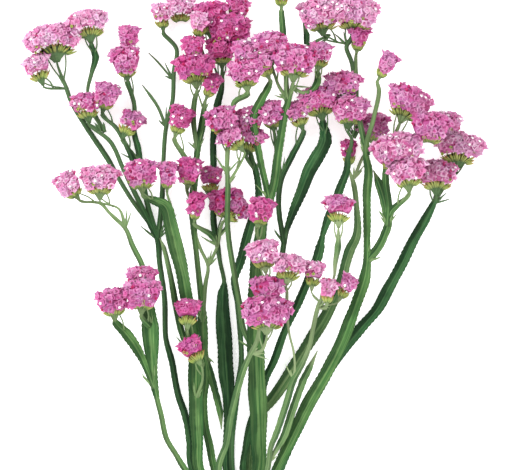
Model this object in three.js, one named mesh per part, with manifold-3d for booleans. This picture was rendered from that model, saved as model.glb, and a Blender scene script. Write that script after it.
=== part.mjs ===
// A bunch of dried statice (Limonium sinuatum), laid on a surface: winged green stems that fork
// again and again and end in one-sided combs of papery pink calyces, held by an elastic band.
// Millimetres. +Y runs from the band to the flowers, +Z is up from the surface, and the origin is
// under the middle of the band, on the flat spot where the band rests.
import * as THREE from 'three';
import { mergeVertices } from 'three/addons/utils/BufferGeometryUtils.js';
import Module from 'manifold-3d';

const wasm = await Module();
wasm.setup();

// ---- driving dimensions ------------------------------------------------------------------------

const GAP = 0.35; // clearance between neighbouring pieces
const FINEST = 0.05; // slivers under this are merged away
const TAIL = 92; // stems go on this far below the band
const TAIL_SPREAD = 1.9; // how much wider the tails stand than the band

const BAND_WALL = 3.6; // the elastic band
const BAND_WIDTH = 9;
const BAND_TURNS = 3;
const BAND_ROOM = 4.6; // beyond the outermost stems
const BAND_GROOVE = 0.7; // depth of the grooves between its turns

const SLOT_PITCH = 6.8; // the stems in the band: side by side
const SLOT_WIDTH = 5.6;
const SLOT_LAYERS = [5, 10.2, 15.4, 20.6]; // and one above the other
const FLOWER_LAYERS = [6.8, 24, 40, 56]; // the same four layers where the flowers are
const FLOWER_REACH = 205; // distance from the band where the layers stand at full height

const WING_STEP = 26; // spacing of the waves along a stem's wings
const WING_WAVE = 0.17; // depth of the waves, as a share of the wing
const STEM_CORE = 3.4; // thickness of a stem between its wings
const WING_LEAST = 4; // narrower stems have no wings
const BRANCH_STEP = 32;
const STEP_LEAST = 13; // points closer than this to the one before are left out
const TWIG_WIDTH = 1.7;
const LAST_STEP = 4;

const NEEDLE_LENGTH = 9; // narrow bracts at the forks
const NEEDLE_WIDTH = 1.3;
const NEEDLE_STEM = 4.2; // they stand only on stems at least this wide

const TOOTH_PITCH = 7;
const TEETH_HEIGHT = 4.4; // green bract teeth under the calyces
const CALYX_GAP = 0.45; // from the teeth to the pink
const CORE_HEIGHT = 3.8; // papery core that the calyces stand out of
const CORE_HALF = 2.8;
const LINK_HALF = 1.8;
const CALYX_LENGTH = 8.2;
const CALYX_PITCH = 14; // spacing along a comb
const ROW_LEAN = [0, 0, 34, 29, 24]; // half the angle between rows, in a comb of 2, 3 or 4 rows
const RIM_INSET = [0.77, 0.91]; // a calyx fills this share of its cell
const RIM_RUFFLE = 1;
const COMB_TILT = 30; // degrees up from the surface that a comb faces, where none is given
const ROW_RISE = 1.6; // more for each row past two
const COMB_STAGGER = 0.3; // the lower combs of a head stand before the upper ones

const GREENS = { dark: 0x2c5a2c, mid: 0x4a7f3a, pale: 0x84a35c };
const PINKS = { deep: 0xc93a8e, mid: 0xd968b3, light: 0xe59fd0 };
const DEEP_HEADS = [
  'head_deep_top', 'head_upper_centre', 'head_nodding', 'head_tilted', 'head_centre_small', 'head_comb',
  'head_round_centre', 'head_upright_centre', 'head_ball', 'head_bud', 'head_single_upper', 'head_single_lower',
];
const LIGHT_HEADS = [
  'head_corner', 'head_left_bank', 'head_left_spike', 'head_top_left', 'head_pale', 'head_crown', 'head_top_far',
  'head_front_top', 'head_thin_first', 'head_thin_second', 'head_right_low', 'head_right_bank', 'head_right_outer',
];

// ---- the sprays --------------------------------------------------------------------------------
// A path's points are [x, y, width]. A comb is [x, y, width, facing, tilt, rows of calyces], where
// facing 90 degrees is towards the tip of the bunch and tilt is up from the surface. lift is a
// branch's height above its layer, at its root and at its tip. A branch without a head is bare.

const SPRAYS = [
  {
    name: 'spray_low_left', layer: 3, slot: -1, tone: 'mid',
    trunk: [[-42, 58, 5.2], [-48, 68, 4.5], [-55, 80, 4.5], [-59, 98, 4.5], [-62, 110, 4.5],
        [-65, 127, 8.2], [-66, 146, 11.2], [-67, 165, 13.5], [-68, 182, 9], [-72, 208, 4.5],
        [-80, 225, 4.5], [-85, 237, 3.8], [-97, 249, 3], [-104, 256, 3], [-114, 257, 2.2]],
    tip: { head: 'head_left_bank', combs: [[-128, 271, 21, 125, 30, 3]] },
    branches: [
      { path: [[-64, 118, 4.5], [-70, 133, 5.2], [-76, 146, 7.5], [-84, 158, 9], [-90, 169, 6]],
          lift: [0, 0], head: 'head_low_outer', combs: [[-95, 185, 26, 98, 29, 3]] },
      { path: [[-67, 164, 6], [-70, 172, 3.8]], lift: [0, 2], head: 'head_low_inner',
          combs: [[-72, 190, 27, 86, 30, 4], [-73, 203, 26, 90, 25]] },
      { path: [[-85, 237, 3.8], [-90, 252, 2.2], [-96, 261, 2.2]], lift: [0, 1],
          head: 'head_left_bank', combs: [[-104, 276, 30, 90, 29, 3]] },
    ],
  },
  {
    name: 'spray_far_left', layer: 0, slot: -1.5, tone: 'dark',
    trunk: [[-37, 58, 5.2], [-38, 77, 6], [-41, 94, 6], [-47, 113, 5.2], [-52, 139, 5.2],
        [-56, 154, 4.5], [-57, 184, 4.5], [-61, 214, 4.5], [-62, 229, 5.2], [-66, 238, 4.5],
        [-81, 258, 3.8], [-91, 274, 3.8], [-100, 290, 4.5], [-116, 314, 4.5], [-128, 334, 3.8],
        [-131, 343, 3.8], [-131, 362, 3], [-134, 374, 2.2]],
    tip: { head: 'head_corner', combs: [[-142, 384, 45, 100, 24, 3]] },
    branches: [
      { path: [[-131, 343, 2.2], [-141, 350, 2.2]], lift: [0, -2], head: 'head_corner',
          combs: [[-154, 362, 24, 108, 18, 2]] },
      { path: [[-62, 229, 5.2], [-75, 255, 4.5], [-88, 282, 3.8], [-98, 303, 3.8], [-108, 319, 3]],
          lift: [0, 4], head: 'head_left_middle', combs: [[-116, 333, 26, 98]] },
      { path: [[-102, 310, 3.8], [-110, 325, 3], [-115, 340, 3], [-112, 355, 3.8], [-109, 367, 6],
          [-107, 377, 6], [-108, 385, 4.5]], lift: [3, 3], head: 'head_left_spike',
          combs: [[-115, 396, 33, 98, 22]] },
      { path: [[-77, 270, 3.8], [-81, 289, 5.2], [-88, 304, 3.8], [-94, 314, 3.8], [-95, 325, 3]],
          lift: [2, 4], head: 'head_left_middle', combs: [[-100, 339, 21, 75, 29, 3]] },
      { path: [[-62, 229, 4.5], [-70, 256, 4.5], [-75, 284, 4.5], [-77, 298, 5.2], [-80, 310, 4.5],
          [-80, 331, 3.8], [-80, 344, 4.5]], lift: [0, 0], head: 'head_stack',
          combs: [[-86, 364, 22, 95, 27, 4], [-84, 382, 17, 90, 24, 3]] },
      { path: [[-76, 287, 2.2], [-81, 295, 2.2], [-86, 300, 2.2]], lift: [0, 4],
          head: 'head_small_oblique', combs: [[-81, 320, 21, 62, 16]] },
      { path: [[-62, 229, 4.5], [-59, 259, 4.5], [-58, 286, 3.8], [-56, 313, 3.8], [-51, 334, 3.8],
          [-50, 356, 3.8], [-48, 373, 3.8], [-52, 389, 3.8]], lift: [0, 0],
        head: 'head_top_left', combs: [[-59, 401, 18, 94, 25], [-45, 406, 24, 92, 25]] },
      { path: [[-56, 314, 3], [-62, 329, 3], [-68, 338, 3], [-74, 346, 2.2]], lift: [0, -3] },
      { path: [[-51, 350, 2.2], [-62, 363, 2.2], [-69, 370, 2.2]], lift: [0, 2] },
    ],
  },
  {
    name: 'spray_centre_left', layer: 2, slot: -1, tone: 'mid',
    trunk: [[-31, 57, 8.2], [-32, 77, 9.8], [-33, 102, 11.2], [-33, 124, 12], [-34, 150, 11.2],
        [-39, 180, 9.8], [-42, 199, 10.5], [-47, 220, 11.2], [-52, 241, 11.2], [-56, 254, 9.8],
        [-60, 260, 5.2], [-69, 262, 3]],
    tip: { head: 'head_centre_left', combs: [[-74, 280, 27, 94, 29, 3]] },
    branches: [
      { path: [[-55, 236, 3.8], [-51, 250, 3], [-52, 261, 2.2]], lift: [0, -2],
          head: 'head_upright_left', combs: [[-54, 279, 15, 88, 26, 3]] },
      { path: [[-34, 146, 3.8], [-38, 161, 2.2], [-38, 167, 2.2]], lift: [0, 13],
          head: 'head_single_upper', combs: [[-39, 179, 22, 90, 9]] },
      { path: [[-33, 109, 3.8], [-28, 124, 2.2], [-29, 136, 2.2]], lift: [0, 13],
          head: 'head_single_lower', combs: [[-37, 150, 21, 118, 13]] },
      { path: [[-38, 145, 4.5], [-44, 161, 5.2], [-48, 180, 5.2], [-52, 202, 4.5], [-57, 223, 3.8],
          [-60, 230, 3]], lift: [-2, -6] },
    ],
  },
  {
    name: 'spray_centre', layer: 1, slot: -1, tone: 'mid',
    trunk: [[-20, 58, 6], [-23, 74, 6], [-26, 88, 6], [-27, 109, 5.2], [-25, 128, 6], [-27, 145, 6],
        [-28, 158, 8.2], [-28, 170, 8.2], [-29, 184, 5.2], [-31, 202, 4.5], [-33, 221, 4.5],
        [-35, 240, 5.2], [-36, 256, 6], [-34, 274, 5.2], [-32, 296, 5.2], [-28, 318, 6],
        [-23, 334, 5.2], [-21, 340, 3]],
    tip: { head: 'head_nodding', combs: [[-20, 347, 15, 66, 27]] },
    branches: [
      { path: [[-36, 254, 3], [-38, 265, 2.2]], lift: [0, 0], head: 'head_centre_small',
          combs: [[-38, 282, 20, 85, 29, 3]] },
      { path: [[-34, 271, 3.8], [-38, 285, 4.5], [-40, 299, 5.2], [-40, 310, 3.8]], lift: [0, 0],
          head: 'head_tilted', combs: [[-44, 321, 20, 72, 20, 3]] },
      { path: [[-32, 296, 3.8], [-35, 319, 4.5], [-34, 334, 4.5], [-34, 344, 3]], lift: [0, 0],
          head: 'head_upper_centre', combs: [[-34, 360, 32, 95, 29, 3], [-35, 374, 18, 95, 26, 3]] },
      { path: [[-27, 325, 2.2], [-24, 356, 2.2], [-29, 379, 2.2]], lift: [0, 2],
          head: 'head_pale', combs: [[-31, 393, 16, 92]] },
      { path: [[-28, 167, 3.8], [-26, 195, 3.8], [-24, 209, 3], [-30, 223, 3], [-34, 238, 2.2]],
          lift: [0, 0] },
      { path: [[-24, 209, 3], [-17, 224, 3], [-10, 239, 3]], lift: [0, 0],
          head: 'head_right_of_centre', combs: [[1, 253, 20, 38, 17]] },
      { path: [[-17, 224, 3], [-21, 232, 5.2], [-26, 241, 5.2], [-28, 246, 3]], lift: [0, 2],
          head: 'head_upright_centre', combs: [[-32, 256, 14, 80, 24, 3]] },
      { path: [[-26, 142, 3.8], [-22, 127, 6], [-18, 112, 6], [-15, 99, 5.2], [-14, 86, 3.8]],
          lift: [0, 0] },
    ],
  },
  {
    name: 'spray_dark', layer: 0, slot: -0.5, tone: 'dark',
    trunk: [[-10, 58, 6.8], [-10, 75, 6.8], [-9, 94, 6.8], [-9, 109, 9], [-10, 124, 12],
        [-11, 139, 12.8], [-12, 156, 12], [-13, 175, 11.2], [-13, 188, 9], [-12, 197, 3.8],
        [-15, 212, 3.8], [-17, 225, 4.5], [-20, 242, 5.2], [-20, 259, 5.2], [-20, 281, 5.2],
        [-20, 308, 5.2], [-17, 331, 6], [-14, 343, 4.5], [-14, 355, 3]],
    tip: { head: 'head_deep_top', combs: [[-14, 374, 24, 92, 29, 3], [-8, 388, 32, 88, 30, 4],
        [-1, 405, 20, 82, 28, 2]] },
    branches: [
      { path: [[-14, 344, 2.2], [-22, 370, 2.2], [-26, 385, 2.2]], lift: [0, -1],
          head: 'head_deep_top', combs: [[-24, 398, 28, 98, 24, 4]] },
      { path: [[-20, 255, 3], [-21, 265, 2.2]], lift: [0, 4], head: 'head_comb',
          combs: [[-22, 278, 21, 88, 9]] },
      { path: [[-19, 229, 3], [-14, 242, 2.2]], lift: [0, 0], head: 'head_round_centre',
          combs: [[-11, 259, 27, 98, 30, 3]] },
    ],
  },
  {
    name: 'spray_wide_left', layer: 1, slot: 0, tone: 'dark',
    trunk: [[-6, 58, 4.5], [-6, 79, 4.5], [-4, 100, 5.2], [-2, 116, 5.2], [1, 137, 4.5], [0, 161, 4.5],
        [-2, 182, 4.5], [-4, 199, 6], [0, 212, 7.5], [4, 226, 7.5], [9, 244, 6.8], [14, 260, 6],
        [12, 280, 5.2], [8, 292, 3.8], [7, 305, 2.2]],
    tip: { head: 'head_mid_right', combs: [[6, 320, 25, 97, 27, 3]] },
    branches: [
      { path: [[12, 280, 3], [10, 293, 2.2]], lift: [0, 0], head: 'head_mid_right',
          combs: [[10, 307, 21, 70, 26]] },
    ],
  },
  {
    name: 'spray_ribbed', layer: 2, slot: 0, tone: 'mid',
    trunk: [[14, 58, 10.5], [14, 75, 12.8], [14, 90, 13.5], [13, 116, 14.2], [12, 139, 13.5],
        [11, 161, 12], [11, 184, 11.2], [12, 206, 10.5], [14, 223, 9.8], [17, 242, 8.2],
        [22, 259, 7.5], [26, 274, 6.8], [29, 296, 6.8], [34, 325, 6], [38, 344, 4.5], [43, 350, 3]],
    tip: { head: 'head_top_right', combs: [[41, 365, 34, 86, 29, 4]] },
    branches: [
      { path: [[13, 212, 3], [14, 224, 2.2], [15, 230, 2.2]], lift: [0, 10], head: 'head_ball',
          combs: [[16, 252, 21, 80, 31, 3]] },
      { path: [[36, 334, 3.8], [29, 344, 3], [25, 350, 2.2]], lift: [0, -2],
          head: 'head_top_right', combs: [[22, 376, 27, 98, 29, 3]] },
      { path: [[38, 344, 3], [47, 339, 3], [53, 340, 4.5], [58, 347, 6], [62, 356, 4.5]],
          lift: [0, -2], head: 'head_top_right', combs: [[61, 370, 20, 80, 26]] },
      { path: [[35, 331, 3.8], [34, 364, 4.5], [32, 386, 5.2], [31, 398, 4.5]], lift: [0, 3],
          head: 'head_crown', combs: [[31, 415, 17, 90]] },
      { path: [[22, 259, 5.2], [16, 285, 5.2], [12, 305, 6], [10, 320, 6], [15, 332, 6.8],
          [20, 341, 6], [22, 347, 3.8]], lift: [0, 0], head: 'head_top_right',
          combs: [[16, 362, 18, 115, 27, 3]] },
      { path: [[12, 145, 4.5], [3, 161, 4.5], [0, 180, 4.5], [-4, 202, 4.5], [-9, 236, 4.5],
          [-9, 270, 4.5], [-10, 292, 3], [-16, 304, 2.2]], lift: [0, 0],
        head: 'head_mid_left', combs: [[-14, 320, 26, 104, 29, 3]] },
      { path: [[-9, 270, 3], [-4, 287, 2.2]], lift: [0, 0], head: 'head_mid_left',
          combs: [[-8, 307, 21, 132, 23]] },
      { path: [[-10, 278, 3.8], [-8, 304, 3], [-6, 321, 3], [-4, 332, 4.5], [-1, 340, 4.5]],
          lift: [0, 0], head: 'head_inner_right', combs: [[4, 356, 28, 96, 29, 3],
          [3, 370, 18, 84, 25, 3]] },
    ],
  },
  {
    name: 'spray_front', layer: 3, slot: 0, tone: 'pale',
    trunk: [[-16, 57, 5.2], [-10, 77, 5.2], [-7, 96, 5.2], [-2, 116, 5.2], [2, 130, 5.2],
        [7, 142, 4.5], [13, 154, 3.8], [15, 169, 3], [17, 184, 3], [21, 197, 2.2], [18, 205, 2.2]],
    tip: { head: 'head_front_top', combs: [[17, 221, 26, 98, 27, 3]] },
    branches: [
      { path: [[8, 144, 3.8], [16, 146, 3], [24, 154, 2.2]], lift: [0, 2], head: 'head_front_low',
        combs: [[20, 177, 36, 90, 29, 4], [20, 194, 26, 94, 26, 3]] },
    ],
  },
  {
    name: 'spray_slender', layer: 1, slot: 1, tone: 'dark',
    trunk: [[2, 57, 5.2], [4, 71, 5.2], [8, 90, 6], [16, 112, 6], [20, 126, 6], [26, 139, 6],
        [34, 161, 6], [44, 182, 6.8], [50, 196, 6.8], [54, 206, 6.8], [58, 215, 7.5], [60, 223, 8.2],
        [62, 232, 4.5], [66, 244, 6.8], [70, 254, 6.8], [75, 267, 6.8], [80, 280, 6], [81, 290, 4.5],
        [84, 304, 3], [84, 311, 2.2]],
    tip: { head: 'head_upper_right', combs: [[82, 329, 30, 88, 29, 3], [77, 347, 28, 92, 29, 3]] },
    branches: [
      { path: [[14, 109, 4.5], [15, 131, 4.5], [17, 154, 4.5], [21, 172, 4.5], [27, 193, 4.5],
          [31, 212, 4.5], [33, 226, 4.5], [35, 236, 4.5], [40, 250, 7.5], [46, 265, 9],
          [52, 280, 10.5], [58, 291, 11.2], [64, 304, 10.5], [66, 316, 6]],
        lift: [0, -1], head: 'head_upper_right', combs: [[59, 336, 32, 100, 29, 3]] },
      { path: [[86, 305, 3], [89, 325, 3], [86, 345, 3], [84, 362, 3.8], [80, 374, 3.8],
          [80, 386, 4.5]], lift: [0, 0], head: 'head_top_far', combs: [[86, 401, 36, 85, 29, 4]] },
      { path: [[80, 376, 2.2], [74, 385, 1.5], [64, 383, 1.5]], lift: [1, -1],
          head: 'head_top_far', combs: [[60, 400, 33, 98, 27, 4]] },
      { path: [[68, 383, 2.2], [57, 378, 3], [51, 374, 4.5], [50, 383, 5.2], [47, 395, 4.5]],
          lift: [1, -3] },
      { path: [[33, 226, 4.5], [29, 255, 4.5], [31, 274, 4.5], [38, 290, 5.2], [45, 302, 4.5]],
          lift: [0, 0], head: 'head_upper_right', combs: [[42, 326, 21, 110, 26]] },
      { path: [[31, 275, 3.8], [28, 292, 3.8], [25, 304, 3]], lift: [0, 0],
          head: 'head_inner_low', combs: [[23, 325, 20, 100, 27, 3]] },
    ],
  },
  {
    name: 'spray_pale_right', layer: 0, slot: 0.5, tone: 'pale',
    trunk: [[7, 57, 6], [9, 79, 7.5], [15, 98, 9], [24, 108, 9], [35, 124, 9.8], [45, 140, 9.8],
        [55, 156, 9.8], [64, 170, 9], [70, 182, 9], [76, 196, 8.2], [80, 212, 8.2], [83, 221, 8.2],
        [88, 232, 6.8], [88, 254, 4.5], [86, 270, 4.5], [85, 280, 3.8], [84, 286, 2.2]],
    tip: { head: 'head_bud', combs: [[82, 298, 15, 92, 17]] },
    branches: [
      { path: [[86, 275, 3], [94, 293, 3], [98, 304, 2.2]], lift: [0, 0],
          head: 'head_right_wing', combs: [[99, 316, 27, 98, 29, 3]] },
    ],
  },
  {
    name: 'spray_main_right', layer: 2, slot: 1, tone: 'mid',
    trunk: [[28, 58, 7.5], [36, 74, 9], [46, 95, 10.5], [57, 116, 10.5], [69, 137, 10.5],
        [78, 157, 9.8], [88, 184, 9.8], [93, 199, 9], [95, 212, 6.8], [95, 229, 5.2], [95, 246, 6.8],
        [95, 263, 6.8], [96, 280, 6.8], [94, 296, 4.5], [100, 320, 3.8], [104, 340, 3.8], [106, 346, 3]],
    tip: { head: 'head_tip_right', combs: [[110, 361, 15, 62, 24, 3]] },
    branches: [
      { path: [[95, 292, 5.2], [88, 328, 3.8], [87, 345, 4.5], [88, 362, 4.5], [87, 371, 3]],
          lift: [0, -22], head: 'head_spike_right', combs: [[90, 383, 16, 80, 24, 3]] },
      { path: [[94, 212, 6.8], [104, 224, 6.8], [110, 238, 6.8], [113, 250, 6], [118, 260, 5.2],
          [124, 269, 3]], lift: [0, -2], head: 'head_right_bank',
        combs: [[124, 282, 30, 98, 27, 3], [117, 298, 38, 98, 29, 4]] },
      { path: [[110, 242, 4.5], [108, 257, 6.8], [104, 271, 6.8], [100, 281, 4.5]], lift: [-2, -6] },
      { path: [[110, 239, 4.5], [111, 255, 6], [109, 274, 6], [111, 292, 4.5], [126, 313, 3]],
          lift: [0, -8], head: 'head_right_crest',
        combs: [[127, 334, 34, 68, 24, 4], [142, 314, 28, 84, 27, 4]] },
    ],
  },
  {
    name: 'spray_outer_right', layer: 0, slot: 1.5, tone: 'dark',
    trunk: [[31, 57, 6.8], [38, 74, 7.5], [47, 94, 7.5], [58, 114, 7.5], [70, 134, 7.5],
        [82, 151, 8.2], [92, 163, 9], [104, 177, 9], [112, 192, 9], [123, 212, 9], [131, 229, 8.2],
        [140, 244, 7.5], [146, 256, 5.2], [148, 265, 3]],
    tip: { head: 'head_right_low', combs: [[148, 281, 33, 90, 26, 3]] },
    branches: [
      { path: [[146, 256, 3.8], [155, 269, 2.2], [164, 281, 2.2]], lift: [0, -4],
          head: 'head_right_outer', combs: [[166, 302, 38, 84, 22, 3], [154, 317, 28, 92, 29, 3]] },
    ],
  },
  {
    name: 'spray_thin_right', layer: 3, slot: 1, tone: 'pale',
    trunk: [[21, 58, 4.5], [23, 73, 4.5], [28, 86, 5.2], [34, 104, 5.2], [40, 124, 5.2],
        [47, 137, 4.5], [52, 150, 3.8], [55, 165, 3.8], [59, 181, 3.8], [65, 191, 3], [70, 201, 2.2],
        [71, 212, 3.8], [73, 224, 5.2], [74, 235, 4.5], [76, 245, 2.2]],
    tip: { head: 'head_comb_right', combs: [[74, 256, 25, 88, 8]] },
    branches: [
      { path: [[60, 182, 2.2], [57, 191, 1.5]], lift: [0, 0], head: 'head_thin_first',
          combs: [[55, 207, 18, 84, 18]] },
      { path: [[58, 178, 2.2], [63, 179, 1.5], [65, 182, 1.5]], lift: [0, 4],
          head: 'head_thin_second', combs: [[66, 194, 15, 84, 20]] },
      { path: [[59, 179, 2.2], [70, 182, 2.2], [77, 187, 1.5]], lift: [0, 0],
          head: 'head_thin_third', combs: [[81, 197, 15, 62, 13]] },
      { path: [[40, 124, 3], [41, 134, 2.2], [40, 146, 2.2], [37, 158, 2.2], [35, 175, 3],
          [35, 190, 3], [36, 197, 2.2]], lift: [0, 0],
        head: 'head_front_top', combs: [[37, 212, 27, 82, 27]] },
      { path: [[26, 70, 4.5], [33, 82, 6], [40, 103, 6], [47, 123, 6], [52, 133, 5.2], [58, 146, 3.8]],
          lift: [-3, -7] },
    ],
  },
];

// ---- seeded draws ------------------------------------------------------------------------------

let draw = 20231;

function random(low, high) {
  draw = (draw * 48271) % 2147483647;
  return low + (high - low) * (draw / 2147483647);
}

// ---- solids ------------------------------------------------------------------------------------

function solidFrom(points, faces) {
  const geometry = new THREE.BufferGeometry();
  const numbers = points.flatMap((p) => [p.x, p.y, p.z]);
  geometry.setAttribute('position', new THREE.Float32BufferAttribute(numbers, 3));
  geometry.setIndex(faces.flat());
  return geometry;
}

function toManifold(geometry) {
  const bare = geometry.clone();
  bare.deleteAttribute('normal');
  bare.deleteAttribute('uv');
  const merged = mergeVertices(bare, 1e-4);
  return new wasm.Manifold(new wasm.Mesh({
    numProp: 3,
    vertProperties: merged.attributes.position.array,
    triVerts: new Uint32Array(merged.index.array),
  }));
}

function toGeometry(manifold) {
  const mesh = manifold.getMesh();
  const geometry = new THREE.BufferGeometry();
  geometry.setAttribute('position', new THREE.BufferAttribute(mesh.vertProperties, 3));
  geometry.setIndex(new THREE.BufferAttribute(mesh.triVerts, 1));
  geometry.computeVertexNormals();
  return geometry;
}

// The same form with every face moved out, so that what is cut by it keeps a gap.
function swollen(geometry, distance) {
  const wide = geometry.clone();
  wide.computeVertexNormals();
  const position = wide.attributes.position;
  const normal = wide.attributes.normal;
  const point = new THREE.Vector3();
  const out = new THREE.Vector3();
  for (let i = 0; i < position.count; i += 1) {
    point.fromBufferAttribute(position, i);
    out.fromBufferAttribute(normal, i);
    point.addScaledVector(out, distance);
    position.setXYZ(i, point.x, point.y, point.z);
  }
  return wide;
}

function withGap(geometry) {
  return [toManifold(geometry), toManifold(swollen(geometry, GAP))];
}

function union(manifolds) {
  return wasm.Manifold.union(manifolds);
}

function largestPiece(manifold) {
  const pieces = manifold.simplify(FINEST).decompose();
  pieces.sort((a, b) => b.volume() - a.volume());
  return pieces[0];
}

// Rings of four points, [right edge, under ridge, left edge, upper ridge], joined into one skin. The
// upper and under faces are split along the same diagonals, so that a waved wing keeps its thickness.
function ringFaces(count, first = 0) {
  const faces = [];
  for (let k = 0; k < count - 1; k += 1) {
    for (let i = 0; i < 4; i += 1) {
      const next = (i + 1) % 4;
      const a = first + k * 4 + i;
      const b = first + k * 4 + next;
      if (i % 2 === 0) {
        faces.push([a, b, b + 4], [a, b + 4, a + 4]);
      } else {
        faces.push([a, b, a + 4], [b, b + 4, a + 4]);
      }
    }
  }
  return faces;
}

function ring(center, tangent, up, right, left, half) {
  const side = new THREE.Vector3().crossVectors(tangent, up).normalize();
  const over = new THREE.Vector3().crossVectors(side, tangent).normalize();
  return [
    center.clone().addScaledVector(side, right),
    center.clone().addScaledVector(over, -half),
    center.clone().addScaledVector(side, -left),
    center.clone().addScaledVector(over, half),
  ];
}

// ---- where a stem runs -------------------------------------------------------------------------

function layerHeight(layer, y) {
  const rise = THREE.MathUtils.clamp(y / FLOWER_REACH, 0, 1);
  return THREE.MathUtils.lerp(SLOT_LAYERS[layer], FLOWER_LAYERS[layer], rise);
}

function route(points, layer, lift) {
  const last = points.length - 1;
  return points.map(([x, y], i) => {
    const raised = THREE.MathUtils.lerp(lift[0], lift[1], i / last);
    return new THREE.Vector3(x, y, layerHeight(layer, y) + raised);
  });
}

function trunkPoints(spray) {
  const x = spray.slot * SLOT_PITCH;
  const tail = -TAIL + random(-9, 9);
  return [
    [x * TAIL_SPREAD + random(-2, 2), tail, SLOT_WIDTH],
    [x * 1.25, tail * 0.35, SLOT_WIDTH],
    [x, 0, SLOT_WIDTH],
    [THREE.MathUtils.lerp(x, spray.trunk[0][0], 0.4), spray.trunk[0][1] * 0.5, SLOT_WIDTH],
    ...spray.trunk,
  ];
}

function stemRings(points, centers, step, wave) {
  const curve = new THREE.CatmullRomCurve3(centers, false, 'centripetal');
  const last = points.length - 1;
  const rings = [];
  const up = new THREE.Vector3(0, 0, 1);
  let before = centers[0];
  let turn = 1;
  for (let i = 0; i <= last; i += 1) {
    const parts = i === last ? 1 : Math.max(1, Math.round(centers[i].distanceTo(centers[i + 1]) / step));
    for (let k = 0; k < parts; k += 1) {
      const t = (i + k / parts) / last;
      const center = curve.getPoint(t);
      if (i > 0 && i < last && center.distanceTo(before) < STEP_LEAST) {
        continue;
      }
      before = center;
      const onward = points[Math.min(i + 1, last)][2];
      const width = THREE.MathUtils.lerp(points[i][2], onward, k / parts);
      const depth = wave * (width > WING_LEAST ? 1 : 0);
      const right = (width / 2) * (1 + turn * depth * random(0.4, 1.3));
      const left = (width / 2) * (1 - turn * depth * random(0.4, 1.3));
      const half = Math.min(STEM_CORE, Math.max(width * 0.8, 1.4)) / 2;
      rings.push(ring(center, curve.getTangent(t), up, right, left, half));
      turn = -turn;
    }
  }
  return rings;
}

// A stem that ends in a plain cut.
function bareStem(points, centers, step) {
  const rings = stemRings(points, centers, step, WING_WAVE);
  const skin = rings.flat();
  const faces = ringFaces(rings.length);
  const [right, under, left, over] = [4, 3, 2, 1].map((back) => skin.length - back);
  faces.push([0, 2, 1], [0, 3, 2], [right, under, left], [right, left, over]);
  return solidFrom(skin, faces);
}

// A stem whose tip spreads into the green teeth of a comb.
function stem(points, centers, step, frame) {
  const rings = stemRings(points, centers, step, WING_WAVE);
  const half = TWIG_WIDTH / 2;
  rings.push(ring(spoke(frame, 0, frame.radius * 0.4), frame.out, frame.front, half, half, half));
  return fan(rings, frame);
}

function fan(rings, frame) {
  const points = rings.flat();
  const faces = ringFaces(rings.length);
  faces.push([0, 2, 1], [0, 3, 2]);
  const [right, under, left, over] = [4, 3, 2, 1].map((back) => points.length - back);
  const teeth = Math.max(3, Math.round(frame.width / TOOTH_PITCH));
  const valleys = [];
  for (let i = 0; i <= teeth; i += 1) {
    const angle = frame.spread * (2 * i / teeth - 1);
    valleys.push(points.length);
    points.push(spoke(frame, angle, frame.radius * random(0.72, 0.86)));
  }
  for (let i = 0; i < teeth; i += 1) {
    const angle = frame.spread * ((2 * i + 1) / teeth - 1);
    const tip = points.length;
    points.push(spoke(frame, angle, frame.radius + TEETH_HEIGHT * random(0.8, 1), random(-0.9, 0.9)));
    faces.push([over, tip, valleys[i]], [over, valleys[i + 1], tip]);
    faces.push([under, valleys[i], tip], [under, tip, valleys[i + 1]]);
  }
  const start = valleys[0];
  const end = valleys[teeth];
  faces.push([over, right, end], [right, under, end], [left, over, start], [under, left, start]);
  return solidFrom(points, faces);
}

// Three-sided bract that stands off a stem, its root sunk in the stem.
function needle(root, direction, length) {
  const side = new THREE.Vector3(-direction.y, direction.x, 0).normalize();
  const half = NEEDLE_WIDTH / 2;
  const points = [
    root.clone().addScaledVector(side, half),
    root.clone().addScaledVector(side, -half),
    root.clone().add(new THREE.Vector3(0, 0, NEEDLE_WIDTH)),
    root.clone().addScaledVector(direction, length),
  ];
  return solidFrom(points, [[0, 1, 2], [1, 0, 3], [2, 1, 3], [0, 2, 3]]);
}

// ---- a comb: green teeth on a twig, and the calyces above them ---------------------------------

function combFrame([x, y, width, facing, tilt = COMB_TILT, rows = 2], height) {
  const angle = THREE.MathUtils.degToRad(facing);
  const rise = THREE.MathUtils.degToRad(tilt + random(-5, 5));
  const flat = Math.cos(rise);
  const out = new THREE.Vector3(Math.cos(angle) * flat, Math.sin(angle) * flat, Math.sin(rise));
  const along = new THREE.Vector3(Math.sin(angle), -Math.cos(angle), 0);
  const front = new THREE.Vector3().crossVectors(along, out);
  const radius = 0.3 * width + 2;
  const reach = radius + TEETH_HEIGHT + CALYX_GAP + CORE_HEIGHT + CALYX_LENGTH;
  const count = Math.max(2, Math.round(width / CALYX_PITCH));
  const spread = Math.asin(Math.min(0.95, width / 2 / (reach * 0.96)));
  const middle = radius + TEETH_HEIGHT + (reach - radius - TEETH_HEIGHT) / 2;
  const hub = new THREE.Vector3(x, y, 0).addScaledVector(out, -middle);
  hub.setZ(height + (rows - 2) * ROW_RISE);
  return { hub, out, along, front, radius, spread, width, count, rows };
}

function spoke(frame, angle, distance, offset = 0) {
  return frame.hub.clone()
    .addScaledVector(frame.out, Math.cos(angle) * distance)
    .addScaledVector(frame.along, Math.sin(angle) * distance)
    .addScaledVector(frame.front, offset);
}

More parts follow.
